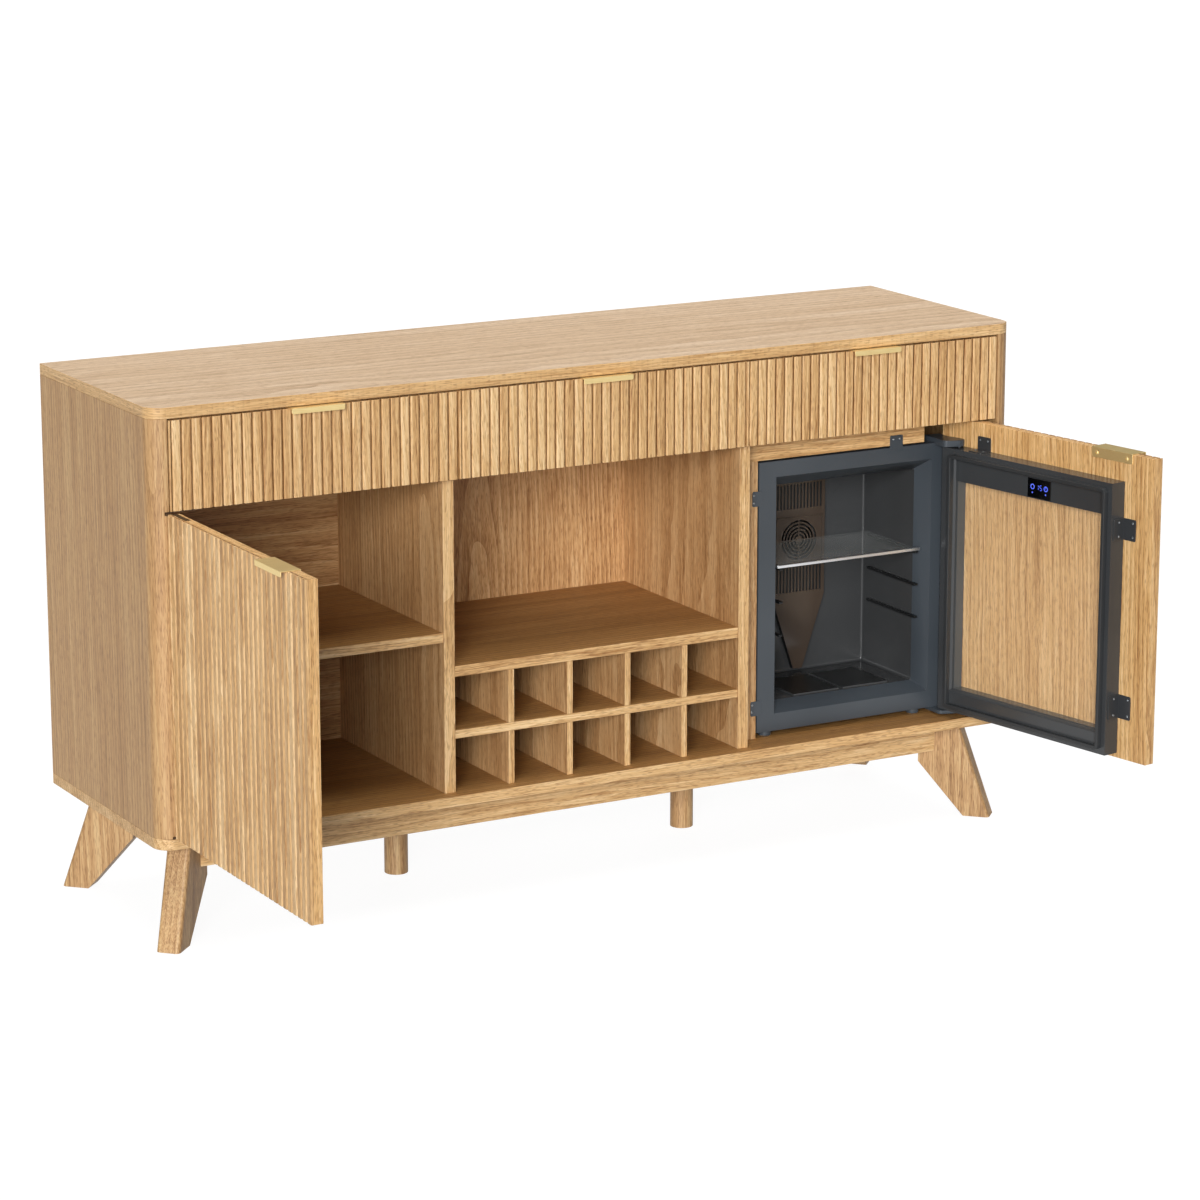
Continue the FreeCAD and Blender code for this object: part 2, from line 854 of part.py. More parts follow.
def pivots():
    """Knife hinges: a leaf on the carcass with the pin, and one let into the door's edge."""
    x, y = left_pin
    left = fronts["left"][0]
    fixed_leaves = []
    door_leaves = []
    for upper in (False, True):
        up = -1 if upper else 1
        carcass_face = drawer_bottom if upper else floor_top
        door_edge = door_top if upper else door_bottom
        inner_edge = door_edge + up * s.pivot_door_leaf
        gap_edge = carcass_face + up * (s.pivot_leaf + s.pivot_gap)
        fixed = new_body("fixed_leaf")
        plate = [
            (x - s.pivot_eye, 0),
            (s.side + s.pivot_length, 0),
            (s.side + s.pivot_length, s.pivot_back + s.pivot_width),
            (s.side, s.pivot_back + s.pivot_width),
            (s.side, y + s.pivot_eye),
            (x - s.pivot_eye, y + s.pivot_eye),
        ]
        ends = sorted((carcass_face, carcass_face + up * s.pivot_leaf), key=float)
        add(fixed, "XY", [plate], *ends)
        ends = sorted((carcass_face, inner_edge), key=float)
        add(fixed, "XY", [Circle(x, y, s.pivot_radius)], *ends)
        fixed_leaves.append(fixed)
        moving = new_body("door_leaf")
        edge = left - s.side_gap + s.pivot_gap
        back = s.pivot_back + s.pivot_width
        eye = s.pivot_eye
        tongue = [
            (x - eye, y - eye / 2),
            (x - eye / 2, y - eye),
            (left, y - eye),
            (left, s.pivot_back),
            (left + s.pivot_length, s.pivot_back),
            (left + s.pivot_length, back),
            (edge, back),
            (edge, y + eye),
            (x - eye / 2, y + eye),
            (x - eye, y + eye / 2),
        ]
        washer = tongue[:3] + [(left, y + eye)] + tongue[8:]
        add(moving, "XY", [washer], *sorted((gap_edge, inner_edge), key=float))
        add(moving, "XY", [tongue], *sorted((door_edge, inner_edge), key=float))
        bore = Circle(x, y, s.pivot_radius + s.pivot_play)
        cut(moving, "XY", [bore], door_bottom - s.front_board, door_top + s.front_board)
        door_leaves.append(moving)
    group("left_hinge_plates", fixed_leaves)
    group("left_door_hinges", door_leaves, "left_door")


def fridge_housing():
    """The oak trim round the fridge."""
    left = bays["right"][0]
    deep = (fridge_front, fridge_front + s.partition)
    board("fridge_filler", (left, filler_right), deep, (floor_top, header_low))
    header_span = (left, inside_right - s.header_notch)
    board("fridge_header", header_span, deep, (header_low, drawer_bottom))


def cavity():
    """Limits of the fridge's inner tub: across, in depth and in height."""
    inset = s.bezel_side + s.bevel_side
    front = fridge_front + s.bevel_depth
    return SimpleNamespace(
        across=(fridge_left + inset, fridge_right - inset),
        deep=(front, front + s.cavity_depth),
        up=(
            fridge_low + s.bezel_foot + s.bevel_foot,
            fridge_top - s.bezel_head - s.bevel_head,
        ),
    )


def fan_centre():
    return (fridge_middle, along(cavity().up, s.fan_share))


def fridge_shell():
    tub = cavity()
    wall = s.liner_wall
    face = fridge_front + wall
    mouth_across = (fridge_left + s.bezel_side, fridge_right - s.bezel_side)
    mouth_up = (fridge_low + s.bezel_foot, fridge_top - s.bezel_head)
    collar = rectangle(grown(mouth_across, wall), grown(mouth_up, wall))
    bucket = rectangle(grown(tub.across, wall), grown(tub.up, wall))
    collar_back = tub.deep[0] + wall
    bucket_back = tub.deep[1] + wall
    well = Circle(*fan_centre(), s.well_radius + wall)
    well_back = tub.deep[1] + s.well_depth
    past = s.overrun

    case = new_body("fridge_case")
    body_outline = rectangle((fridge_left, fridge_right), (fridge_low, fridge_top))
    add(case, "XZ", [body_outline], face, fridge_back)
    cut(case, "XZ", [collar], face - past, collar_back)
    cut(case, "XZ", [bucket], collar_back - past, bucket_back)
    cut(case, "XZ", [well], bucket_back - past, well_back + wall)
    sink_across = (fridge_middle - s.sink_width / 2, fridge_middle + s.sink_width / 2)
    fridge_up = (fridge_low, fridge_top)
    sink_up = (along(fridge_up, s.sink_low_share), along(fridge_up, s.sink_high_share))
    sink_hole = rectangle(sink_across, sink_up)
    cut(case, "XZ", [sink_hole], fridge_back - s.sink_bay, fridge_back + past)
    lap_across = grown(sink_across, s.rear_lap)
    lap_up = grown(sink_up, s.rear_lap)
    lap_front = fridge_back - s.rear_sheet
    cut(case, "XZ", [rectangle(lap_across, lap_up)], lap_front, fridge_back + past)
    inlet_right = fridge_right - s.inlet_inset
    inlet_across = (inlet_right - s.inlet_width, inlet_right)
    inlet_up = (fridge_low + s.inlet_rise, fridge_low + s.inlet_rise + s.inlet_height)
    inlet_deep = (fridge_back - s.inlet_depth, fridge_back)
    cut(case, "XZ", [rectangle(inlet_across, inlet_up)], inlet_deep[0], fridge_back + past)
    keep(case, "fridge_case")

    liner = new_body("fridge_liner")
    add(liner, "XZ", [body_outline], fridge_front, face)
    add(liner, "XZ", [collar], face - past, collar_back)
    add(liner, "XZ", [bucket], collar_back - past, bucket_back)
    add(liner, "XZ", [well], bucket_back - past, well_back + wall)
    funnel = body_loft(
        liner,
        (fridge_front, rectangle(mouth_across, mouth_up)),
        (tub.deep[0], rectangle(tub.across, tub.up)),
    )
    funnel.Label = "bevel"
    inner = rectangle(tub.across, tub.up, s.cavity_round)
    cut(liner, "XZ", [inner], tub.deep[0] - past / 2, tub.deep[1])
    cut(liner, "XZ", [Circle(*fan_centre(), s.well_radius)], tub.deep[1] - past, well_back)
    floor_trays(liner, tub)
    keep(liner, "fridge_liner")
    shelf_ribs(tub)

    sink(sink_across, sink_up)
    rear_cover(lap_across, lap_up)
    power_inlet(inlet_across, inlet_deep, inlet_up)
    fan(tub, well_back)


def body_loft(body, near_section, far_section):
    """A cut that tapers evenly from one outline to another along y."""
    loft = body.newObject("PartDesign::SubtractiveLoft", "Bevel")
    loft.Profile = sketch_on(body, "XZ", near_section[0], [near_section[1]])
    loft.Sections = [sketch_on(body, "XZ", far_section[0], [far_section[1]])]
    loft.Ruled = True
    return loft


def shelf_ribs(tub):
    """Bars on the side walls, blunt in front and out over the bevel, that carry the shelf."""
    top = along(tub.up, s.rib_top_share)
    nose = s.rib_height / 4
    front = tub.deep[0] - s.rib_front
    back = tub.deep[1] - s.rib_back
    bars = []
    for wall, inner in ((tub.across[0], 1), (tub.across[1], -1)):
        ends = sorted((wall, wall + inner * s.rib_width), key=float)
        for i in range(int(s.rib_count.number)):
            high = top - s.rib_pitch * i
            low = high - s.rib_height
            outline = [
                (front, low + nose),
                (front + nose, low),
                (back, low),
                (back, high),
                (front + nose, high),
                (front, high - nose),
            ]
            bar = new_body("bar")
            add(bar, "YZ", [outline], *ends)
            bars.append(bar)
    group("shelf_ribs", bars)


def floor_trays(liner, tub):
    """Two low raised pads side by side on the cavity's floor."""
    near_edge = s.tray_gap / 2
    far_edge = near_edge + (tub.across[1] - tub.across[0]) * s.tray_share
    front = tub.deep[0] + s.tray_front
    pads = []
    for side in (-1, 1):
        ends = sorted((fridge_middle + side * near_edge, fridge_middle + side * far_edge), key=float)
        pads.append(rectangle(ends, (front, front + s.tray_depth)))
    add(liner, "XY", pads, tub.up[0] - s.liner_wall / 2, tub.up[0] + s.tray_rise)


def sink(across, up):
    """Aluminium fins on a base plate behind the cooling element."""
    body = new_body("heat_sink")
    front = fridge_back - s.sink_bay
    add(body, "XY", [rectangle(across, (front, front + s.sink_base))], *up)
    count = whole((across[1] - across[0] - s.sink_fin) / s.sink_pitch)
    step = (across[1] - across[0] - s.sink_fin) / count
    deep = (front + s.sink_base / 2, fridge_back - s.rear_sheet - s.fan_gap)
    fin = add(body, "XY", [rectangle((across[0], across[0] + s.sink_fin), deep)], *up)
    repeat(body, fin, "H_Axis", step, count + 1)
    keep(body, "heat_sink")


def rear_cover(across, up):
    """A sheet with level air slots that closes the bay of the heat sink."""
    body = new_body("rear_cover")
    add(body, "XZ", [rectangle(across, up)], fridge_back - s.rear_sheet, fridge_back)
    slot_across = grown(across, -2 * s.rear_lap)
    low = up[0] + 2 * s.rear_lap
    slot = rectangle(slot_across, (low, low + s.rear_slot))
    first = cut(body, "XZ", [slot], fridge_back - s.rear_sheet - s.overrun, fridge_back + s.overrun)
    room = up[1] - up[0] - 4 * s.rear_lap - s.rear_slot
    count = whole(room / s.rear_slot_pitch)
    repeat(body, first, "V_Axis", room / count, count + 1)
    keep(body, "rear_cover")


def power_inlet(across, deep, up):
    """A socket with two pins for a plug-in mains lead."""
    body = new_body("power_inlet")
    add(body, "XZ", [rectangle(across, up)], *deep)
    mouth = rectangle(grown(across, -s.inlet_wall), grown(up, -s.inlet_wall))
    cut(body, "XZ", [mouth], deep[0] + s.inlet_wall, deep[1] + s.overrun)
    middle = (up[0] + up[1]) / 2
    quarter = (across[1] - across[0]) / 4
    half = s.inlet_pin / 2
    pins = [
        rectangle((x - half, x + half), (middle - s.inlet_pin, middle + s.inlet_pin))
        for x in (across[0] + quarter, across[1] - quarter)
    ]
    add(body, "XZ", pins, deep[0] + s.inlet_wall / 2, deep[1] - s.inlet_wall)
    keep(body, "power_inlet")


def fan(tub, well_back):
    """The motor on the well's floor and the seven-bladed impeller on its shaft."""
    centre = fan_centre()
    front = tub.deep[1] - s.cover_depth + s.cover_wall + s.fan_gap
    back = front + s.fan_depth
    motor = new_body("fan_motor")
    add(motor, "XZ", [Circle(*centre, s.motor_radius)], back + s.fan_gap, well_back)
    add(motor, "XZ", [Circle(*centre, s.shaft_radius)], front, back + 2 * s.fan_gap)
    keep(motor, "fan_motor")
    rotor = new_body("fan_impeller")
    add(rotor, "XZ", [Circle(0, 0, s.fan_hub)], 0, s.fan_depth)
    half = s.fan_blade / 2
    span = s.fan_depth * sine(s.fan_pitch)
    lean = s.fan_depth * cosine(s.fan_pitch)
    blade_outline = [
        (s.fan_gap / 2, -half - span / 2),
        (s.fan_gap / 2 + lean, span / 2 - half),
        (s.fan_gap / 2 + lean, span / 2 + half),
        (s.fan_gap / 2, half - span / 2),
    ]
    blade = add(rotor, "YZ", [blade_outline], s.fan_hub - s.fan_gap, s.fan_radius)
    y_axis = next(item for item in rotor.Origin.OriginFeatures if item.Role == "Y_Axis")
    turn_round(rotor, blade, (y_axis, [""]), s.fan_blades)
    bore = Circle(0, 0, s.shaft_radius + s.pivot_play)
    cut(rotor, "XZ", [bore], -s.overrun, s.fan_depth + s.overrun)
    keep(rotor, "fan_impeller", at=(centre[0], front, centre[1]))


def air_cover():
    """The moulded cover on the cavity's back wall: two slot grilles and a round one between."""
    tub = cavity()
    body = new_body("air_cover")
    front = tub.deep[1] - s.cover_depth
    half = s.cover_width / 2
    foot = s.cover_foot_width / 2
    low = tub.up[0] + s.cover_foot_rise
    neck = along(tub.up, s.cover_neck_share)
    top = tub.up[1] - s.cover_top_drop
    centre = fan_centre()

    def outline(inset):
        return [
            (fridge_middle - foot + inset, low + inset),
            (fridge_middle + foot - inset, low + inset),
            (fridge_middle + half - inset, neck),
            (fridge_middle + half - inset, top - inset),
            (fridge_middle - half + inset, top - inset),
            (fridge_middle - half + inset, neck),
        ]

    add(body, "XZ", [outline(0)], front, tub.deep[1])
    cut(body, "XZ", [outline(s.cover_wall)], front + s.cover_wall, tub.deep[1] + s.overrun)
    through = (front - s.overrun, front + s.cover_wall + s.overrun)
    start = fridge_middle - s.slot_pitch * (s.slot_count - 1) / 2 - s.slot_width / 2
    above = (centre[1] + s.well_radius, top)
    below = (neck, centre[1] - s.well_radius)
    for room, shares in (
        (above, (s.upper_slot_low_share, s.upper_slot_high_share)),
        (below, (s.lower_slot_low_share, s.lower_slot_high_share)),
    ):
        up = [along(room, share) for share in shares]
        first = cut(body, "XZ", [rectangle((start, start + s.slot_width), up)], *through)
        repeat(body, first, "H_Axis", s.slot_pitch, s.slot_count)
    ring_grille(body, centre, through)
    # A shallow seam round the plate that carries the rings
    plate = [(at - half, at + half) for at, half in zip(centre, (s.plate_width / 2, s.plate_height / 2))]
    seam = [rectangle(*(grown(limits, by) for limits in plate)) for by in (s.seam_width, 0)]
    cut(body, "XZ", seam, front - s.overrun, front + s.seam_depth)
    keep(body, "air_cover")


def ring_grille(body, centre, through):
    """Rings of curved slots in front of the fan, parted by four spokes."""
    pocket = body.newObject("PartDesign::Pocket", "Pocket")
    sketch = sketch_on(body, "XZ", through[0], [], centre)
    half_spoke = float(s.spoke) / 2
    for i in range(int(s.ring_count.number)):
        inner = s.ring_first + s.ring_pitch * i
        outer = inner + s.ring_gap
        arcs = []
        for radius in (inner, outer):
            lean = math.asin(half_spoke / float(radius))
            circle = Part.Circle(FreeCAD.Vector(), FreeCAD.Vector(0, 0, 1), float(radius))
            arc = Part.ArcOfCircle(circle, lean, math.pi / 2 - lean)
            index = sketch.addGeometry(arc)
            sketch.addConstraint(Sketcher.Constraint("Coincident", index, CENTRE, ORIGIN, START))
            hold(sketch, Sketcher.Constraint("Radius", index, float(radius)), radius)
            arcs.append((index, arc))
        for end, point, lie, kind in (
            (START, "StartPoint", "Horizontal", "DistanceY"),
            (END, "EndPoint", "Vertical", "DistanceX"),
        ):
            places = [getattr(arc, point) for index, arc in arcs]
            line = sketch.addGeometry(Part.LineSegment(*places))
            for line_end, (index, arc) in zip((START, END), arcs):
                joint = Sketcher.Constraint("Coincident", line, line_end, index, end)
                sketch.addConstraint(joint)
            sketch.addConstraint(Sketcher.Constraint(lie, line))
            distance = Sketcher.Constraint(kind, ORIGIN, START, line, START, half_spoke)
            hold(sketch, distance, s.spoke / 2)
    pocket.Profile = sketch
    bind(pocket, "Length", through[1] - through[0])
    turn_round(body, pocket, (sketch, ["N_Axis"]), QUARTERS)


def glass_shelf():
    tub = cavity()
    low = along(tub.up, s.rib_top_share) + s.glass_lift
    back = tub.deep[1] - s.cover_depth - s.glass_stop
    trim_front = tub.deep[0] - s.rib_front + s.glass_lift
    front = trim_front + s.trim_depth
    body = new_body("glass_shelf")
    add(body, "XY", [rectangle(grown(tub.across, -s.glass_play), (front, back))], low, low + s.glass)
    keep(body, "glass_shelf")
    trim = new_body("shelf_trim")
    middle = low + s.glass / 2
    profile = rectangle(
        (trim_front, front),
        (low, middle + s.trim_height / 2),
        s.trim_depth / 4,
    )
    add(trim, "YZ", [profile], *grown(tub.across, s.trim_reach))
    keep(trim, "shelf_trim")


def fridge_fixings():
    feet = []
    for x in (fridge_left + s.fridge_foot_inset, fridge_right - 2 * s.fridge_foot_inset):
        for y in (fridge_front + s.fridge_foot_front, fridge_back - s.fridge_foot_front):
            feet.append(post(s.fridge_foot_radius, x, y, (floor_top, fridge_low)))
    group("fridge_feet", feet)
    fridge_hinges()
    plates = []
    deep = (fridge_front - s.clip_sheet, fridge_front)
    middle = (filler_right + fridge_left) / 2 - s.clip_sheet
    across = (middle - s.clip_length / 2, middle + s.clip_length / 2)
    for low in (fridge_low + s.clip_low_rise, fridge_top - s.clip_high_drop):
        plates.append((across, (low, low + s.clip_width)))
    right = fridge_right - s.clip_top_inset + s.clip_width / 2
    low = fridge_top - s.clip_lap
    plates.append(((right - s.clip_width, right), (low, low + s.clip_width)))
    bodies = []
    for span, up in plates:
        clip = new_body("clip")
        add(clip, "XZ", [rectangle(span, up)], *deep)
        bodies.append(clip)
    group("fridge_clips", bodies)


def fridge_hinges():
    """Top and bottom arms that reach forward from the fridge to the pins of its door."""
    x, y = right_pin
    members = []
    left = x - s.hinge_arm
    right = fridge_right
    front = y - s.hinge_eye
    arm_low = frame_top + s.hinge_gap
    top = arm_low + s.hinge_top + s.hinge_gap
    upper = new_body("upper_hinge")
    arm = [
        (left, fridge_front + s.hinge_seat),
        (left, y, s.hinge_eye),
        (x - s.hinge_eye / 2, front, s.hinge_eye / 4),
        (x + s.hinge_eye, front, s.hinge_eye * s.hinge_round_share),
        (x + s.hinge_eye * s.hinge_waist_share, y + s.hinge_eye, s.hinge_eye / 2),
        (right, fridge_front),
        (right, fridge_front + s.hinge_seat),
    ]
    add(upper, "XY", [arm], fridge_top, top)
    front_part = arm[1:6] + [(left, fridge_front)]
    add(upper, "XY", [front_part], arm_low, fridge_top + s.overrun)
    pin = Circle(x, y, s.hinge_pin_radius)
    add(upper, "XY", [pin], frame_top - s.hinge_pin_length, arm_low + s.overrun)
    members.append(upper)
    lower = new_body("lower_hinge")
    add(lower, "XY", [arm], fridge_low - s.hinge_foot, fridge_low)
    add(lower, "XY", [pin], fridge_low - s.overrun, frame_low + s.hinge_pin_length)
    members.append(lower)
    group("fridge_hinges", members)


def glass_door():
    """The fridge's own door: a moulded frame, a pane, a seal and the control display."""
    front = s.front_board
    frame = new_body("door_frame")
    up = (frame_low, frame_top)
    add(frame, "XZ", [rectangle((frame_left, frame_right), up)], front, frame_back)
    window_across = (frame_left + s.frame_rim, frame_right - s.frame_hinge_rim)
    window_low = frame_low + s.frame_foot_rim
    window_top = frame_top - s.frame_head_rim
    band_low = window_top - s.frame_head_band
    step = frame_back - s.frame_step
    past = s.overrun
    window_up = (window_low, window_top)
    mouth = rectangle(grown(window_across, s.frame_bevel), grown(window_up, s.frame_bevel))
    taper = body_loft(frame, (frame_back, mouth), (step, rectangle(window_across, window_up)))
    taper.Label = "step"
    cut(frame, "XZ", [rectangle(window_across, (window_low, band_low))], front - past, step + past)
    pane_across = grown(window_across, s.pane_lap)
    pane_up = grown((window_low, band_low), s.pane_lap)
    pane_deep = (step - s.pane_lip - s.pane, step - s.pane_lip)
    cut(frame, "XZ", [rectangle(pane_across, pane_up)], *pane_deep)
    x, y = right_pin
    bore = Circle(x, y, s.hinge_pin_radius + s.pivot_play)
    depth = s.hinge_pin_length + s.overrun
    cut(frame, "XY", [bore], frame_top - depth, frame_top + past)
    cut(frame, "XY", [bore], frame_low - past, frame_low + depth)

    def hinge_corner(p):
        return near(p.x, frame_right) and near(p.y, frame_back)

    round_off(frame, s.frame_round, lambda p, q: hinge_corner(p) and hinge_corner(q))
    keep(frame, "door_frame", "fridge_door")

    pane = new_body("door_glass")
    add(pane, "XZ", [rectangle(pane_across, pane_up)], *pane_deep)
    keep(pane, "door_glass", "fridge_door")

    seal = new_body("door_seal")
    outer_across = (frame_left + s.seal_inset, fridge_right)
    outer_up = (frame_low + s.seal_inset, frame_top - s.seal_inset)
    inner = rectangle(grown(outer_across, -s.seal_width), grown(outer_up, -s.seal_width))
    outer = rectangle(outer_across, outer_up, s.seal_round)
    add(seal, "XZ", [outer, inner], frame_back, frame_back + s.seal_depth)
    keep(seal, "door_seal", "fridge_door")

    display = new_body("door_display")
    middle = along(window_across, s.display_share)
    low = band_low + s.display_rise
    half = s.display_width / 2
    outline = rectangle((middle - half, middle + half), (low, low + s.display_height))
    add(display, "XZ", [outline], step, step + s.clip_sheet)
    keep(display, "door_display", "fridge_door")
    door_clips()


def door_clips():
    """Bent clips that hold the wooden door to the frame of the glass door."""
    front = s.front_board
    sheet_back = front + s.clip_sheet
    leg_back = front + s.door_clip_leg
    bodies = []
    for low, tall in (
        (frame_low + s.door_clip_low, s.door_clip_low_height),
        (frame_top - s.door_clip_high_drop, s.door_clip_high_height),
    ):
        clip = new_body("side_clip")
        angle = [
            (frame_left - s.door_clip_length, front),
            (frame_left, front),
            (frame_left, leg_back),
            (frame_left - s.clip_sheet, leg_back),
            (frame_left - s.clip_sheet, sheet_back),
            (frame_left - s.door_clip_length, sheet_back),
        ]
        add(clip, "XY", [angle], low, low + tall)
        bodies.append(clip)
    clip = new_body("top_clip")
    right = right_pin[0] - s.door_clip_top_inset
    high = frame_top + s.door_clip_top_height
    angle = [
        (front, frame_top),
        (leg_back, frame_top),
        (leg_back, frame_top + s.clip_sheet),
        (sheet_back, frame_top + s.clip_sheet),
        (sheet_back, high),
        (front, high),
    ]
    add(clip, "YZ", [angle], right - s.door_clip_top_width, right)
    bodies.append(clip)
    group("door_clips", bodies, "fridge_door")


def right_door():
    """The fluted oak door that is clipped to the front of the glass door."""
    up = (door_bottom, door_top)
    door = fluted_front("right_door", right_door_span, up, "fridge_door")
    right = right_door_span[1]
    past = s.overrun
    radius = s.door_round
    # The outer corner on the hinge side is rounded so that it clears the side of the carcass
    corner = [
        (right - radius - past, -past),
        (right + past, -past),
        (right + past, radius + past),
        (right, radius + past),
        (right, 0, radius),
        (right - radius - past, 0),
    ]
    cut(door, "XY", [corner], door_bottom - past, door_top + past)
    pull("right_door_pull", right_pull_left + s.pull_width / 2, door_top, "fridge_door")


def channel(wall, inward, up, deep):
    """A folded steel channel that opens towards the other half of its runner."""
    web = wall + inward * s.runner_sheet
    end = wall + inward * s.runner_channel
    low, high = up
    thin = s.runner_sheet
    outline = [
        (wall, low),
        (end, low),
        (end, low + thin),
        (web, low + thin),
        (web, high - thin),
        (end, high - thin),
        (end, high),
        (wall, high),
    ]
    body = new_body("channel")
    add(body, "XZ", [outline], *deep)
    return body


def drawers():
    fixed = []
    box_low = drawer_bottom + s.drawer_rise
    box_up = (box_low, box_low + s.drawer_height)
    thick = s.drawer_board
    front = s.front_board
    deep = (front, back_face - s.drawer_back_gap)
    rail_deep = (front + s.runner_front, deep[1] - s.runner_back)
    outer_up = (box_low + s.runner_rise, box_low + s.runner_rise + s.runner_height)
    inner_up = grown(outer_up, -s.runner_sheet - s.runner_play)
    for name, bay in bays.items():
        left = bay[0] + s.runner_space
        right = bay[1] - s.runner_space
        span = fronts[name]
        fluted_front(f"{name}_drawer_front", span, (drawer_bottom, front_top))
        pull(f"{name}_drawer_pull", (span[0] + span[1]) / 2, front_top)
        inside = (left + thick, right - thick)
        base_up = (box_low + s.drawer_groove, box_low + s.drawer_groove + s.drawer_bottom_board)
        walls = [
            block((left, left + thick), deep, box_up),
            block((right - thick, right), deep, box_up),
            block(inside, (deep[1] - thick, deep[1]), box_up),
            block(inside, (front, deep[1] - thick), base_up),
        ]
        group(f"{name}_drawer_box", walls)
        moving = []
        for wall, box_side, inward in ((bay[0], left, 1), (bay[1], right, -1)):
            fixed.append(channel(wall, inward, outer_up, rail_deep))
            moving.append(channel(box_side, -inward, inner_up, rail_deep))
        group(f"{name}_drawer_runners", moving)
    group("drawer_runners", fixed)


def check_and_write():
    """Stop if anything failed to build, and write one file for each piece."""
    doc.recompute()
    for item in doc.Objects:
        if "Invalid" in item.State or "Error" in item.State:
            raise RuntimeError(f"{item.Label} ({item.Name}) failed: {item.State}")
    for item in subparts:
        if item.Shape.isNull() or not item.Shape.isValid() or not item.Shape.Solids:
            raise RuntimeError(f"{item.Label} has no sound shape")
    os.makedirs("parts", exist_ok=True)
    for item in subparts:
        item.Shape.exportStep(f"parts/{item.Label}.step")
    print(f"{len(subparts)} pieces written")


carcass()
shelves()
base()
left_door()
fridge_housing()
fridge_shell()
air_cover()
glass_shelf()
fridge_fixings()
glass_door()
right_door()
drawers()
check_and_write()
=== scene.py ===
"""Looks of the bar cabinet with fridge: finished boards, slats, metalwork, materials and light.

Lengths are metres in the row frame, where +X runs along the cabinet, +Y to its back and +Z up.
Sizes in millimetres are multiplied by MM.
"""

import json
import math

import bpy
from mathutils import Matrix, Vector


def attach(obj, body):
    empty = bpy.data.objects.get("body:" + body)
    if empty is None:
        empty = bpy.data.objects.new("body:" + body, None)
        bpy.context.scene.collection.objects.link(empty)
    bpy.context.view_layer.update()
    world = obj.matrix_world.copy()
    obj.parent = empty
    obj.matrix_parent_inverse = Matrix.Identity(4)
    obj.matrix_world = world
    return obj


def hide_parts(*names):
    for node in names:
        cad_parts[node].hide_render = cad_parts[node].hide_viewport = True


MM = 0.001

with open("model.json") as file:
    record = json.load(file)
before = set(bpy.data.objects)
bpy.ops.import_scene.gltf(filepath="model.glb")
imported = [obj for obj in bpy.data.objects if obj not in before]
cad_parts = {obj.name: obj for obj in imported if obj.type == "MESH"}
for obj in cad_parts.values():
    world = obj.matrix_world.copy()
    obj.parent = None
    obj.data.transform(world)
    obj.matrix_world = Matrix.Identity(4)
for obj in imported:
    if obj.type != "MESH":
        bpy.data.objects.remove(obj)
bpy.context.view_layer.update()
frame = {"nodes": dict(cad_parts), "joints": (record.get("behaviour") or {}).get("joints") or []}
nodes = frame["nodes"]
joints = {joint["name"]: joint for joint in frame["joints"]}


# Small tools for modelling

# Points that count as one, faces that count as one plane, and an edge that counts as sharp
WELD = 0.002 * MM
NEARLY_FLAT = math.radians(1)
SHARP = math.radians(35)


def only(obj):
    """Selects this object alone and makes it the active one."""
    bpy.ops.object.select_all(action="DESELECT")
    obj.select_set(True)
    bpy.context.view_layer.objects.active = obj


def named(name):
    """Names the active object and its mesh, and returns it."""
    obj = bpy.context.active_object
    obj.name = name
    obj.data.name = name
    return obj


def block(name, low, high):
    """A box between two corners, with its place in its mesh."""
    low, high = Vector(low), Vector(high)
    bpy.ops.object.select_all(action="DESELECT")
    bpy.ops.mesh.primitive_cube_add(size=1, location=(low + high) / 2, scale=high - low)
    obj = named(name)
    bpy.ops.object.transform_apply(location=True, rotation=True, scale=True)
    return obj


def ease_edges(obj, width, segments=2, sharper_than=SHARP):
    """Rounds the edges of a hard piece a little, as sanding or moulding does."""
    only(obj)
    bevel = obj.modifiers.new("eased", "BEVEL")
    bevel.width = width
    bevel.segments = segments
    bevel.limit_method = "ANGLE"
    bevel.angle_limit = sharper_than
    bevel.use_clamp_overlap = True
    bpy.ops.object.modifier_apply(modifier=bevel.name)
    bpy.ops.object.shade_smooth_by_angle(angle=sharper_than)
    # Keeps the large faces looking flat between their rounded edges
    flat = obj.modifiers.new("flat_faces", "WEIGHTED_NORMAL")
    flat.keep_sharp = True
    bpy.ops.object.modifier_apply(modifier=flat.name)
    return obj


def bevel_chosen(obj, chosen, width, segments):
    """Rounds the edges whose two ends pass the test."""
    only(obj)
    bpy.ops.object.mode_set(mode="EDIT")
    bpy.ops.mesh.select_mode(type="EDGE")
    bpy.ops.mesh.select_all(action="DESELECT")
    bpy.ops.object.mode_set(mode="OBJECT")
    for edge in obj.data.edges:
        edge.select = chosen(*(obj.data.vertices[i].co for i in edge.vertices))
    bpy.ops.object.mode_set(mode="EDIT")
    bpy.ops.mesh.bevel(offset=width, segments=segments, affect="EDGES")
    bpy.ops.object.mode_set(mode="OBJECT")
    return obj


def joined(name, pieces):
    """Joins pieces into one object."""
    bpy.ops.object.select_all(action="DESELECT")
    for piece in pieces:
        piece.select_set(True)
    bpy.context.view_layer.objects.active = pieces[0]
    bpy.ops.object.join()
    return named(name)


def loose_pieces(obj):
    """Parts the object into its separate pieces."""
    only(obj)
    bpy.ops.object.mode_set(mode="EDIT")
    bpy.ops.mesh.select_all(action="SELECT")
    bpy.ops.mesh.separate(type="LOOSE")
    bpy.ops.object.mode_set(mode="OBJECT")
    return list(bpy.context.selected_objects)


def placed(obj, matrix):
    """Carries a piece by a matrix and puts the result in its mesh."""
    only(obj)
    obj.matrix_world = matrix @ obj.matrix_world
    bpy.ops.object.transform_apply(location=True, rotation=True, scale=True)
    return obj


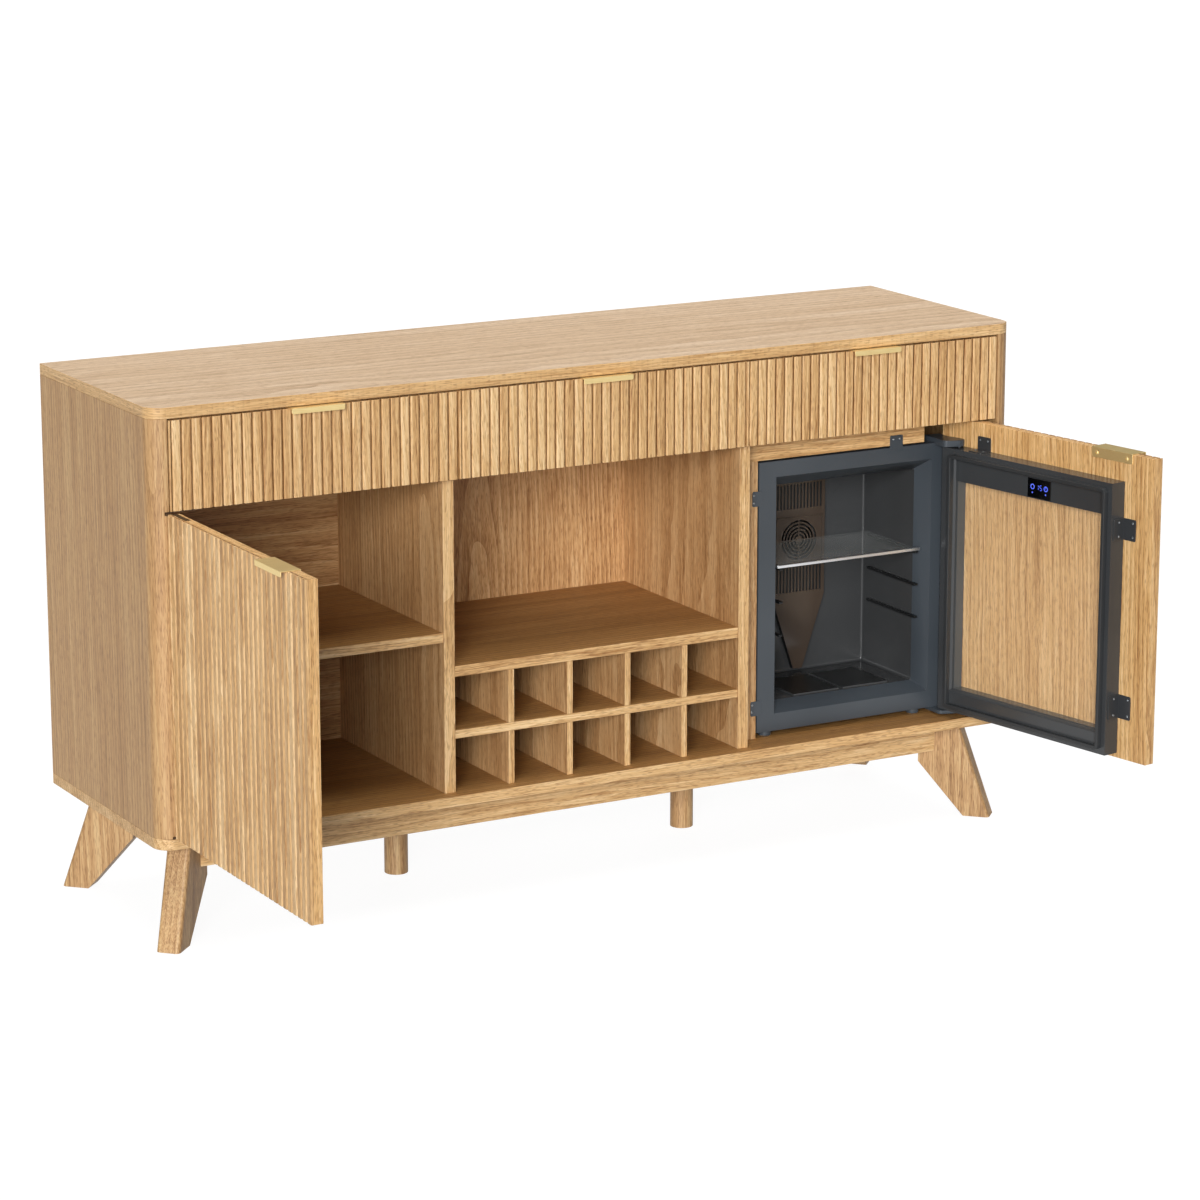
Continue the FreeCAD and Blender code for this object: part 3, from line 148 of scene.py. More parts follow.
def copied(source, name, matrix):
    """Another piece like this one, carried by a matrix, with a mesh of its own."""
    copy = bpy.data.objects.new(name, source.data.copy())
    copy.data.name = name
    copy.data.transform(matrix)
    bpy.context.scene.collection.objects.link(copy)
    return copy


def box_of(obj, turn=Matrix.Identity(4)):
    """Lowest and highest corner of a piece, before the turn that carried it to its place."""
    back = turn.inverted()
    corners = [back @ vertex.co for vertex in obj.data.vertices]
    low = Vector(min(corner[i] for corner in corners) for i in range(3))
    high = Vector(max(corner[i] for corner in corners) for i in range(3))
    return low, high


def dress(obj, body, material, slot, *stands_for):
    """Gives a piece its finish and its body, and hides the solids that it stands for."""
    obj.data.materials.clear()
    obj.data.materials.append(material)
    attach(obj, body)
    if stands_for:
        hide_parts(*stands_for)
    return obj


def merged_copy(node):
    """A copy of a solid with its loose triangles merged and its flat faces whole again."""
    copy = bpy.data.objects.new(node + "_finished", nodes[node].data.copy())
    bpy.context.scene.collection.objects.link(copy)
    only(copy)
    bpy.ops.object.mode_set(mode="EDIT")
    bpy.ops.mesh.select_all(action="SELECT")
    bpy.ops.mesh.remove_doubles(threshold=WELD)
    bpy.ops.mesh.dissolve_limited(angle_limit=NEARLY_FLAT)
    bpy.ops.object.mode_set(mode="OBJECT")
    return copy


def eased_copy(node, width, segments=2):
    """The finished piece of a solid, with its edges eased."""
    return ease_edges(merged_copy(node), width, segments)


def shut_to_open(joint_name):
    """The turn that carries a door from shut to its open place at rest."""
    joint = joints[joint_name]
    low, high = joint["range_deg"]
    open_angle = -math.radians(low + high)
    pin = Vector(joint["pos_m"])
    turn = Matrix.Rotation(open_angle, 4, Vector(joint["axis"]))
    return Matrix.Translation(pin) @ turn @ Matrix.Translation(-pin)


# Materials


def hex_colour(code):
    """An sRGB hex value as linear red, green, blue and alpha."""
    parts = [int(code[i : i + 2], 16) / 255 for i in (1, 3, 5)]
    linear = [c / 12.92 if c <= 0.04045 else ((c + 0.055) / 1.055) ** 2.4 for c in parts]
    return (*linear, 1)


def socket(sockets, name):
    """The socket of that name or number that the node's settings leave in use."""
    if isinstance(name, int):
        return sockets[name]
    return next(s for s in sockets if s.name == name and s.enabled)


def add_node(tree, kind, settings=None, stops=()):
    """Adds a node with its properties, its inputs and the colour stops of its ramp.

    An input is a plain value, or the output of another node that is linked to it.
    """
    made = tree.nodes.new("ShaderNode" + kind)
    for name, value in (settings or {}).items():
        if isinstance(name, str) and hasattr(made, name):
            setattr(made, name, value)
        elif isinstance(value, bpy.types.NodeSocket):
            tree.links.new(value, socket(made.inputs, name))
        else:
            socket(made.inputs, name).default_value = value
    for i, (place, colour) in enumerate(stops):
        elements = made.color_ramp.elements
        element = elements[i] if i < len(elements) else elements.new(place)
        element.position = place
        element.color = hex_colour(colour)
    return made


def new_material(name, **settings):
    """A material with its shader's constant values set."""
    material = bpy.data.materials.new(name)
    material.use_nodes = True
    shader = material.node_tree.nodes["Principled BSDF"]
    for key, value in settings.items():
        socket(shader.inputs, key.replace("_", " ")).default_value = value
    return material, material.node_tree, shader


# How a board's grain is turned to lie along Z, and so slightly askew that rings run out in arches
ASKEW = math.radians(1.6)
GRAIN_TURNS = {
    "X": (ASKEW, math.radians(-90), 0),
    "Y": (math.radians(90) + ASKEW, 0, 0),
    "Z": (ASKEW, ASKEW / 2, 0),
    "edge": (0, 0, 0),
}

# One growth ring, one streak, one bundle of fibres and one open pore of the veneer. Real pores
# are 0.3 mm wide and real fibres finer still: they are drawn coarser, so that they show.
RING = 9 * MM
STREAK_ACROSS = 6 * MM
STREAK_ALONG = 520 * MM
BAND_ACROSS = 5 * STREAK_ACROSS
BAND_ALONG = 3 * STREAK_ALONG
FIBRE_ACROSS = 1.5 * MM
FIBRE_ALONG = 75 * MM
PORE_ACROSS = 1.2 * MM
PORE_ALONG = 13 * MM
PORE_DEPTH = 0.15 * MM
WANDER_ALONG = 520 * MM
WANDER_ACROSS = 130 * MM
WANDER_REACH = 22 * MM
# The wave texture repeats after this length at scale 1
WAVE_LENGTH = 2 * math.pi / 20
# How strongly each part of the grain sets the tone, how much an open pore darkens it, and how
# much scarcer pores are late in a ring
BAND_SHARE = 0.55
STREAK_SHARE = 0.8
FIBRE_SHARE = 1.3
RING_SHARE = 0.24
PORE_SHARE = 0.4
LATE_PORES = -0.13
# Roughness of the lacquer over the darkest and the palest fibres
OAK_ROUGHNESS = (0.46, 0.6)
# How far apart in metres the slats of a front are cut from the tree, how much their grain may
# slant, and how much their tones differ
SLAT_JUMP = (0.37, 0, 7.3)
SLAT_SLANT = 0.12
SLAT_TONE = 0.26
# Painted shade: this colour darkens the grooves between slats, where shade falls
GROOVE_SHADE = "#8a623c"


# How far in metres the tree's centre line is moved from the origin, so where arches show
HEARTS = {
    "oak_top": (0, 0.1, 0.55),
    "oak_length": (0.3, 0.2, 0.1),
    "oak_side": (0.95, 0.1, 0.4),
    "oak_partition": (0.37, -0.1, 0.2),
    "oak_front_edge": (0.3, 0.1, 0.5),
    "oak_niche_back": (0.02, -0.5, 1.4),
    "oak_inner_length": (0.3, 0.2, 0.1),
    "oak_shelf": (0.2, 0.2, 0.3),
    "oak_slats": (0.21, 0.07, 0.2),
    "oak_edge": (0, 0, 0),
    "oak_leg": (0.5, 0.33, 0.9),
    "oak_door": (-0.715, 0.14, 0.3),
    "oak_drawer": (0.1, 0.5, 0.2),
}


def oak(name, grain, tones, contrast=1.0, per_slat=False, ring_share=RING_SHARE):
    """Oak veneer, brushed and under clear matt lacquer, so that its pores stay open.

    The eye sees pale bands, fine darker fibres along the board and short dark pores. The grain
    "edge" is that of the thin veneer band glued round a board, with lines all along it.
    """
    material, tree, shader = new_material(name, IOR=1.5)
    place = add_node(tree, "TexCoord").outputs["Object"]
    wood = add_node(
        tree,
        "Mapping",
        {"Vector": place, "Rotation": GRAIN_TURNS[grain], "Location": HEARTS[name]},
    ).outputs["Vector"]
    slat = None
    if per_slat:
        slat = add_node(tree, "Attribute", {"attribute_name": "slat"}).outputs["Fac"]
        slant = add_node(
            tree, "Math", {"operation": "MULTIPLY_ADD", 0: slat, 1: SLAT_SLANT, 2: -SLAT_SLANT / 2}
        ).outputs[0]
        height = add_node(tree, "SeparateXYZ", {"Vector": wood}).outputs["Z"]
        lean = add_node(tree, "Math", {"operation": "MULTIPLY", 0: height, 1: slant}).outputs[0]
        aside = add_node(tree, "CombineXYZ", {"X": lean}).outputs["Vector"]
        wood = add_node(tree, "VectorMath", {"operation": "ADD", 0: wood, 1: aside}).outputs[0]
        wood = add_node(
            tree, "VectorMath", {"operation": "MULTIPLY_ADD", 0: slat, 1: SLAT_JUMP, 2: wood}
        ).outputs[0]

    # The grain wanders a little along the board
    wander_scale = (1 / WANDER_ACROSS, 1 / WANDER_ACROSS, 1 / WANDER_ALONG)
    wander_space = add_node(tree, "Mapping", {"Vector": wood, "Scale": wander_scale}).outputs[0]
    wander = add_node(tree, "TexNoise", {"Vector": wander_space, "Scale": 1, "Detail": 2})
    reach = (WANDER_REACH, WANDER_REACH, 0)
    grown = add_node(
        tree,
        "VectorMath",
        {"operation": "MULTIPLY_ADD", 0: wander.outputs["Color"], 1: reach, 2: wood},
    ).outputs[0]

    rings = add_node(
        tree,
        "TexWave",
        {
            "wave_type": "RINGS",
            "rings_direction": "Z",
            "wave_profile": "SAW",
            "Vector": grown,
            "Scale": WAVE_LENGTH / RING,
            "Distortion": 3.0,
            "Detail": 2,
            "Detail Scale": 0.2,
            "Detail Roughness": 0.6,
        },
    ).outputs["Fac"]
    textures = {}
    for part, across, along, detail in (
        ("streaks", STREAK_ACROSS, STREAK_ALONG, 3),
        ("fibres", FIBRE_ACROSS, FIBRE_ALONG, 2),
        ("pores", PORE_ACROSS, PORE_ALONG, 0),
        ("bands", BAND_ACROSS, BAND_ALONG, 1),
    ):
        scale = (1 / across, 1 / across, 1 / along)
        if grain == "edge":
            scale = (1 / along, 1 / along, 1 / across)
        space = add_node(tree, "Mapping", {"Vector": grown, "Scale": scale}).outputs[0]
        textures[part] = add_node(
            tree,
            "TexNoise",
            {"Vector": space, "Scale": 1, "Detail": detail, "Roughness": 0.65},
        ).outputs["Fac"]

    # Pores gather where a ring's spring growth lies
    crowd = add_node(
        tree,
        "Math",
        {"operation": "MULTIPLY_ADD", 0: rings, 1: LATE_PORES, 2: textures["pores"]},
    ).outputs[0]
    pores = add_node(
        tree, "MapRange", {"Value": crowd, "From Min": 0.5, "From Max": 0.62}
    ).outputs["Result"]

    # All parts together set the tone, from the darkest wood to the palest, and each averages 0.5
    shares = [
        (textures["bands"], BAND_SHARE),
        (textures["streaks"], STREAK_SHARE),
        (textures["fibres"], FIBRE_SHARE),
        (rings, ring_share),
    ]
    level = 0.5 - contrast * sum(share for source, share in shares) / 2
    if slat:
        shares.append((slat, SLAT_TONE / contrast))
        level -= SLAT_TONE / 2
    for source, share in shares:
        level = add_node(
            tree, "Math", {"operation": "MULTIPLY_ADD", 0: source, 1: share * contrast, 2: level}
        ).outputs[0]
    dark, middle, light, pore_tone = tones
    stops = [(0.05, dark), (0.5, middle), (0.95, light)]
    colour = add_node(tree, "ValToRGB", {"Fac": level}, stops).outputs["Color"]
    strength = add_node(
        tree, "Math", {"operation": "MULTIPLY", 0: pores, 1: PORE_SHARE}
    ).outputs[0]
    darkened = [(strength, hex_colour(pore_tone))]
    # Pores darken the wood; the grooves between slats get painted shade
    if per_slat:
        groove = add_node(tree, "Attribute", {"attribute_name": "groove"}).outputs["Fac"]
        darkened.append((groove, hex_colour(GROOVE_SHADE)))
    for factor, tone in darkened:
        painted = add_node(
            tree,
            "Mix",
            {
                "data_type": "RGBA",
                "blend_type": "MULTIPLY",
                "Factor": factor,
                "A": colour,
                "B": tone,
            },
        )
        colour = socket(painted.outputs, "Result")
    tree.links.new(colour, shader.inputs["Base Color"])

    gloss = add_node(
        tree,
        "MapRange",
        {
            "Value": textures["fibres"],
            "From Min": 0.3,
            "From Max": 0.7,
            "To Min": OAK_ROUGHNESS[0],
            "To Max": OAK_ROUGHNESS[1],
        },
    ).outputs["Result"]
    tree.links.new(gloss, shader.inputs["Roughness"])
    relief = add_node(
        tree, "Math", {"operation": "SUBTRACT", 0: textures["fibres"], 1: pores}
    ).outputs[0]
    bump = add_node(tree, "Bump", {"Strength": 0.4, "Distance": PORE_DEPTH, "Height": relief})
    tree.links.new(bump.outputs["Normal"], shader.inputs["Normal"])
    return material


# One brushed line of the brass, which is drawn coarser than a real one of 0.1 mm
BRUSH_ALONG = 30 * MM
BRUSH_ACROSS = 0.7 * MM
BRUSH_DEPTH = 0.03 * MM
BRASS_ROUGHNESS = (0.46, 0.6)


def brass(name):
    """Brass sheet, brushed along its length and lacquered: pale gold with a soft long sheen."""
    material, tree, shader = new_material(name, Metallic=1.0)
    place = add_node(tree, "TexCoord").outputs["Object"]
    brushing = add_node(
        tree,
        "Mapping",
        {"Vector": place, "Scale": (1 / BRUSH_ALONG, 1 / BRUSH_ACROSS, 1 / BRUSH_ACROSS)},
    ).outputs["Vector"]
    lines = add_node(
        tree, "TexNoise", {"Vector": brushing, "Scale": 1, "Detail": 2}
    ).outputs["Fac"]
    stops = [(0.3, "#ebd092"), (0.7, "#f6e1a9")]
    colour = add_node(tree, "ValToRGB", {"Fac": lines}, stops).outputs["Color"]
    tree.links.new(colour, shader.inputs["Base Color"])
    low, high = BRASS_ROUGHNESS
    gloss = add_node(tree, "MapRange", {"Value": lines, "To Min": low, "To Max": high})
    tree.links.new(gloss.outputs["Result"], shader.inputs["Roughness"])
    bump = add_node(tree, "Bump", {"Strength": 0.15, "Distance": BRUSH_DEPTH, "Height": lines})
    tree.links.new(bump.outputs["Normal"], shader.inputs["Normal"])
    return material


# Depths of a mould's texture, and how much the roughness of a moulding and of metal changes
SPARK_DEPTH = 0.05 * MM
FINE_DEPTH = 0.02 * MM
MOULDED_CHANGE = 0.04
METAL_CHANGE = 0.06
# How many soft patches of tone, of haze on glass and of a lit segment lie in a metre
CLOUDS_PER_METRE = 6
HAZE_PER_METRE = 9
GLOWS_PER_METRE = 400


def moulded(name, dark, light, rough, grit, relief=SPARK_DEPTH, ior=1.46):
    """Injection-moulded ABS: one colour right through, with the fine spark texture of its mould."""
    material, tree, shader = new_material(name, IOR=ior)
    place = add_node(tree, "TexCoord").outputs["Object"]
    grain = add_node(
        tree, "TexNoise", {"Vector": place, "Scale": 1 / grit, "Detail": 2}
    ).outputs["Fac"]
    cloud = add_node(
        tree, "TexNoise", {"Vector": place, "Scale": CLOUDS_PER_METRE, "Detail": 1}
    ).outputs["Fac"]
    stops = [(0.35, dark), (0.65, light)]
    colour = add_node(tree, "ValToRGB", {"Fac": cloud}, stops).outputs["Color"]
    tree.links.new(colour, shader.inputs["Base Color"])
    gloss = add_node(
        tree,
        "MapRange",
        {"Value": grain, "To Min": rough - MOULDED_CHANGE, "To Max": rough + MOULDED_CHANGE},
    )
    tree.links.new(gloss.outputs["Result"], shader.inputs["Roughness"])
    bump = add_node(tree, "Bump", {"Strength": 0.2, "Distance": relief, "Height": grain})
    tree.links.new(bump.outputs["Normal"], shader.inputs["Normal"])
    return material


def metal(name, dark, light, rough, grit, metallic=1.0):
    """Sheet or extruded metal: fine speckle in its gloss, and a slight change of tone."""
    material, tree, shader = new_material(name, Metallic=metallic)
    place = add_node(tree, "TexCoord").outputs["Object"]
    speckle = add_node(
        tree, "TexNoise", {"Vector": place, "Scale": 1 / grit, "Detail": 3}
    ).outputs["Fac"]
    stops = [(0.3, dark), (0.7, light)]
    colour = add_node(tree, "ValToRGB", {"Fac": speckle}, stops).outputs["Color"]
    tree.links.new(colour, shader.inputs["Base Color"])
    gloss = add_node(
        tree,
        "MapRange",
        {"Value": speckle, "To Min": rough - METAL_CHANGE, "To Max": rough + METAL_CHANGE},
    )
    tree.links.new(gloss.outputs["Result"], shader.inputs["Roughness"])
    return material


def glass(name, tint, clear, edge):
    """Float glass: nearly all behind shows; a flat angle shows a pale painted reflection."""
    material, tree, shader = new_material(name, IOR=1.5, Roughness=0.04)
    place = add_node(tree, "TexCoord").outputs["Object"]
    haze = add_node(
        tree, "TexNoise", {"Vector": place, "Scale": HAZE_PER_METRE, "Detail": 1}
    ).outputs["Fac"]
    # The pale colour, shown more at a flat angle, is a painted reflection of the bright
    # surroundings
    stops = [(0.2, tint), (0.8, "#f2f5f4")]
    colour = add_node(tree, "ValToRGB", {"Fac": haze}, stops).outputs["Color"]
    tree.links.new(colour, shader.inputs["Base Color"])
    facing = add_node(tree, "LayerWeight", {"Blend": 0.12}).outputs["Fresnel"]
    cover = add_node(tree, "MapRange", {"Value": facing, "To Min": clear, "To Max": edge})
    tree.links.new(cover.outputs["Result"], shader.inputs["Alpha"])
    return material


def lit(name, dark, light, strength):
    """Segments of a display, lit from behind: even blue light in a dark window."""
    material, tree, shader = new_material(
        name, Base_Color=hex_colour("#05070f"), Emission_Strength=strength
    )
    place = add_node(tree, "TexCoord").outputs["Object"]
    unevenness = add_node(
        tree, "TexNoise", {"Vector": place, "Scale": GLOWS_PER_METRE}
    ).outputs["Fac"]
    stops = [(0.3, dark), (0.7, light)]
    shade = add_node(tree, "ValToRGB", {"Fac": unevenness}, stops).outputs["Color"]
    tree.links.new(shade, shader.inputs["Emission Color"])
    return material


# Tones of the oak: darkest, middle and palest wood, and the colour that a pore darkens it by
HONEY = ("#a0703c", "#d6ac74", "#f1d1a0", "#94703f")
TAN = ("#a88766", "#dabb97", "#f3dfc8", "#a48564")
SIDE = ("#8c6538", "#bc9261", "#d9b885", "#94703f")
AMBER = ("#a06d38", "#daac6f", "#f4d09b", "#94703f")
# The inner boards are a darker copy of the oak: painted shade inside the cabinet
SHADED_INNER = ("#8f6238", "#c19563", "#dcb98a", "#94703f")
# The shelves and the bottom board are a darker copy of the oak: painted shade inside the cabinet
SHADED_SHELF = ("#704824", "#a3763f", "#c39863", "#94703f")

oak_top = oak("oak_top", "X", TAN, 0.7)
oak_length = oak("oak_length", "X", HONEY)
oak_side = oak("oak_side", "Z", SIDE, 0.8)
oak_partition = oak("oak_partition", "Z", SHADED_INNER)
oak_front_edge = oak("oak_front_edge", "Z", HONEY)
oak_niche_back = oak("oak_niche_back", "Z", SHADED_INNER, ring_share=0.34)
oak_inner_length = oak("oak_inner_length", "X", SHADED_INNER)
oak_shelf = oak("oak_shelf", "X", SHADED_SHELF, 0.8)
oak_slats = oak("oak_slats", "Z", HONEY, 0.9, per_slat=True)
oak_edge = oak("oak_edge", "edge", HONEY, 0.9, ring_share=0)
oak_leg = oak("oak_leg", "Z", SIDE)
oak_door = oak("oak_door", "Z", AMBER, ring_share=0.3)
oak_drawer = oak("oak_drawer", "Y", TAN, 0.8)
satin_brass = brass("satin_brass")

# Grit of a mould's spark texture and of paint, and the size of zinc's crystals
GRIT = 0.5 * MM
SMOOTH_GRIT = 2 * MM
SPANGLE = 4 * MM

slate_abs = moulded("slate_abs", "#3c4248", "#42484e", 0.3, GRIT)
frame_abs = moulded("grey_abs", "#3a3c3e", "#404244", 0.22, GRIT)
charcoal_abs = moulded("charcoal_abs", "#393a3b", "#3e3f40", 0.24, GRIT)
# The cover's brown tint is a painted reflection of the oak round it, on charcoal plastic
cover_abs = moulded("charcoal_abs_wood_reflection", "#3f352e", "#493d33", 0.14, GRIT, FINE_DEPTH)
black_abs = moulded("black_abs", "#101112", "#151617", 0.32, GRIT)
gasket = moulded("gasket_vinyl", "#2b2d2f", "#303234", 0.5, GRIT, FINE_DEPTH)
black_steel = metal("black_powder_coated_steel", "#2c2e30", "#35373a", 0.36, GRIT, 0.0)
# The hinges and their plates are steel painted the brown of oak in shade, so they read as shadow
shade_brown_steel = metal("steel_in_painted_wood_shade", "#4a3624", "#553f2b", 0.5, GRIT, 0.3)
zinc_steel = metal("zinc_plated_steel", "#8d9296", "#a5aaad", 0.34, SPANGLE)
bright_aluminium = metal("polished_aluminium", "#dfe1e4", "#eceef0", 0.3, SMOOTH_GRIT)
display_glass = moulded("display_glass", "#030405", "#050608", 0.12, SMOOTH_GRIT, 0, 1.5)
door_pane = glass("clear_float_glass_pane", "#dfe8e4", 0.03, 0.5)
shelf_pane = glass("clear_float_glass_shelf", "#a9b2ae", 0.04, 0.3)
blue_light = lit("blue_segments", "#2f4bff", "#6f88ff", 1.1)


# Boards with eased edges

EASED = 0.7 * MM
PULL_EASE = 0.5 * MM
LINER_EASE = 0.8 * MM
CLIP_EASE = 0.3 * MM
COVER_EASE = 0.25 * MM
SIGN_EASE = 0.2 * MM

BOARDS = {
    oak_side: ["left_side_panel", "right_side_panel"],
    oak_partition: ["fridge_filler"],
    oak_length: ["base_rails", "fridge_header", "drawer_dividers"],
    oak_inner_length: ["left_back_panel"],
    oak_niche_back: ["middle_back_panel", "right_back_panel"],
    oak_leg: [
        "front_left_leg", "front_right_leg", "back_left_leg", "back_right_leg", "centre_feet",
    ],
}
for material, names in BOARDS.items():
    for name in names:
        dress(eased_copy(name, EASED), "cabinet", material, "oak", name)

# Boards whose edges carry a veneer band: the board's face, its band, and which way its edges face
BANDED = {
    "top_panel": (oak_top, oak_edge, (1, 1, 0)),
    "bottom_panel": (oak_shelf, oak_length, (1, 1, 0)),
    "left_shelf": (oak_shelf, oak_length, (1, 1, 0)),
    "middle_shelf": (oak_shelf, oak_length, (1, 1, 0)),
    "rack_shelf": (oak_shelf, oak_length, (1, 1, 0)),
    "left_partition": (oak_partition, oak_front_edge, (0, 1, 0)),
    "right_partition": (oak_partition, oak_front_edge, (0, 1, 0)),
    "rack_dividers": (oak_partition, oak_front_edge, (0, 1, 0)),
}
ACROSS_EDGE = 0.5
for name, (material, band, edges) in BANDED.items():
    board = dress(eased_copy(name, EASED), "cabinet", material, "oak", name)
    board.data.materials.append(band)
    for face in board.data.polygons:
        turned = sum(abs(n) * e for n, e in zip(face.normal, edges))
        face.material_index = int(turned > ACROSS_EDGE)

for side in ("left", "middle", "right"):
    drawer = side + "_drawer"
    dress(eased_copy(drawer + "_box", EASED), drawer, oak_drawer, "oak", drawer + "_box")


# Fluted fronts: a backing board, a narrow strip at the left edge and rounded slats

STRIP = 3.5 * MM
GROOVE = 2 * MM
SLAT_PITCH = 17 * MM
SLAT_RELIEF = 4.8 * MM
SLAT_ROUND = 3.3 * MM
STRIP_ROUND = 1.2 * MM
SLAT_END = 0.35 * MM
# More than a step of a slat's rounded edges turns by, and less than its square ends do
SLAT_SHARP = math.radians(50)
SUNK = 0.5 * MM
CLOSE = 0.01 * MM
# Two numbers that scatter the slats' tones, the same way in each run
TONE_STEP = 91.7
TONE_SPREAD = 437.58


def mark_slat(obj, tone, low, high):
    """Stores a slat's number from 0 to 1, which sets its tone and where in the tree it was cut.

    It also stores which points lie in a groove of the front between the two corners, where
    shade is painted: behind the rounded edges, but not on the front's own ends.
    """
    points = obj.data.vertices
    marks = obj.data.attributes.new("slat", "FLOAT", "POINT")
    marks.data.foreach_set("value", [tone] * len(points))
    marks = obj.data.attributes.new("groove", "FLOAT", "POINT")
    behind, left, right = low.y + SLAT_ROUND - CLOSE, low.x + SLAT_ROUND, high.x - SLAT_ROUND
    shaded_points = [float(point.co.y > behind and left < point.co.x < right) for point in points]
    marks.data.foreach_set("value", shaded_points)


def slat(name, low, high, rounding):
    """One upright slat, rounded along its two front edges and eased at its ends."""
    piece = block(name, low, high)
    bevel_chosen(
        piece,
        lambda a, b: abs(a.y - low[1]) < CLOSE and abs(b.y - low[1]) < CLOSE
        and abs(a.x - b.x) < CLOSE,
        rounding,
        5,
    )
    return ease_edges(piece, SLAT_END, 1, SLAT_SHARP)


def fluted_front(node, low, high, seed):
    """The backing board and the slats of a front between two corners, in its shut place."""
    board = block(node + "_board", (low.x, low.y + SLAT_RELIEF, low.z), high)
    ease_edges(board, EASED)
    back = low.y + SLAT_RELIEF + SUNK
    first = low.x + STRIP + GROOVE
    count = round((high.x - first + GROOVE) / SLAT_PITCH)
    pitch = (high.x - first + GROOVE) / count
    strip_end = (low.x + STRIP, back, high.z)
    strip = slat(node + "_strip", low, strip_end, STRIP_ROUND)
    slat_end = (first + pitch - GROOVE, back, high.z)
    first_slat = slat(node + "_slat", (first, low.y, low.z), slat_end, SLAT_ROUND)
    pieces = [strip, first_slat]
    for i in range(1, count):
        pieces.append(copied(first_slat, node + "_slat", Matrix.Translation((pitch * i, 0, 0))))
    for i, piece in enumerate(pieces):
        mark_slat(piece, (math.sin(TONE_STEP * i + seed) * TONE_SPREAD) % 1, low, high)
    return board, joined(node + "_slats", pieces)


cupboard_turn = shut_to_open("cupboard_door_hinge")
fridge_turn = shut_to_open("fridge_door_hinge")
still = Matrix.Identity(4)

FRONTS = [
    ("left_drawer_front", "left_drawer", still, 0.21),
    ("middle_drawer_front", "middle_drawer", still, 0.47),
    ("right_drawer_front", "right_drawer", still, 0.83),
    ("left_door", "cupboard_door", cupboard_turn, 0.34),
    ("right_door", "fridge_door", fridge_turn, 0.66),
]
for node, body, turn, seed in FRONTS:
    low, high = box_of(nodes[node], turn)
    board, slats = fluted_front(node, low, high, seed)
    dress(placed(board, turn), body, oak_door, "oak", node)
    dress(placed(slats, turn), body, oak_slats, "oak")


# Screws with a cross recess, each kind modelled once

# The cross's arms and their half width as shares of the head's radius, and where its floor lies
ARM_SHARE = 0.55
SLOT_SHARE = 0.13
RECESS_SHARE = 0.45
DOME_SHARP = math.radians(40)


def screw(name, radius, rise):
    """A pan head at the origin that faces up, with its cross recess."""
    bpy.ops.object.select_all(action="DESELECT")
    bpy.ops.mesh.primitive_uv_sphere_add(segments=20, ring_count=12, radius=1)
    dome = named(name)
    bpy.ops.object.mode_set(mode="EDIT")
    bpy.ops.mesh.select_all(action="SELECT")
    bpy.ops.mesh.bisect(plane_co=(0, 0, 0), plane_no=(0, 0, 1), use_fill=True, clear_inner=True)
    bpy.ops.object.mode_set(mode="OBJECT")
    dome.scale = (radius, radius, rise)
    bpy.ops.object.transform_apply(location=False, rotation=False, scale=True)
    arm, width, deep = radius * ARM_SHARE, radius * SLOT_SHARE, rise * RECESS_SHARE
    for across, up in ((arm, width), (width, arm)):
        cutter = block(name + "_cut", (-across, -up, deep), (across, up, 2 * rise))
        only(dome)
        recess = dome.modifiers.new("recess", "BOOLEAN")
        recess.operation = "DIFFERENCE"
        recess.object = cutter
        bpy.ops.object.modifier_apply(modifier=recess.name)
        bpy.data.objects.remove(cutter)
    only(dome)
    bpy.ops.object.shade_smooth_by_angle(angle=DOME_SHARP)
    return dome


def seated(head, seat, facing):
    """A copy of a screw's head on its seat, facing away from it."""
    lean = Vector((0, 0, 1)).rotation_difference(Vector(facing)).to_matrix().to_4x4()
    return copied(head, head.name + "_seated", Matrix.Translation(seat) @ lean)


PULL_SCREW = (3.2 * MM, 1.6 * MM)
CLIP_SCREW = (1.9 * MM, 0.9 * MM)
pull_screw = screw("pull_screw", *PULL_SCREW)
clip_screw = screw("clip_screw", *CLIP_SCREW)


# Brass pulls and their screws

PULLS = [
    ("left_drawer_pull", "left_drawer", still),
    ("middle_drawer_pull", "middle_drawer", still),
    ("right_drawer_pull", "right_drawer", still),
    ("left_door_pull", "cupboard_door", cupboard_turn),
    ("right_door_pull", "fridge_door", fridge_turn),
]
SCREW_INSET = 12 * MM
SCREW_DROP = 9.5 * MM

for node, body, turn in PULLS:
    low, high = box_of(nodes[node], turn)
    dress(eased_copy(node, PULL_EASE, 3), body, satin_brass, "brass", node)
    screws = []
    for x in (low.x + SCREW_INSET, high.x - SCREW_INSET):
        screws.append(seated(pull_screw, (x, high.y, high.z - SCREW_DROP), (0, 1, 0)))
    screw_pair = placed(joined(node + "_screws", screws), turn)
    dress(screw_pair, body, satin_brass, "brass")


# The fridge and its hardware: softened copies of the moulded and metal pieces

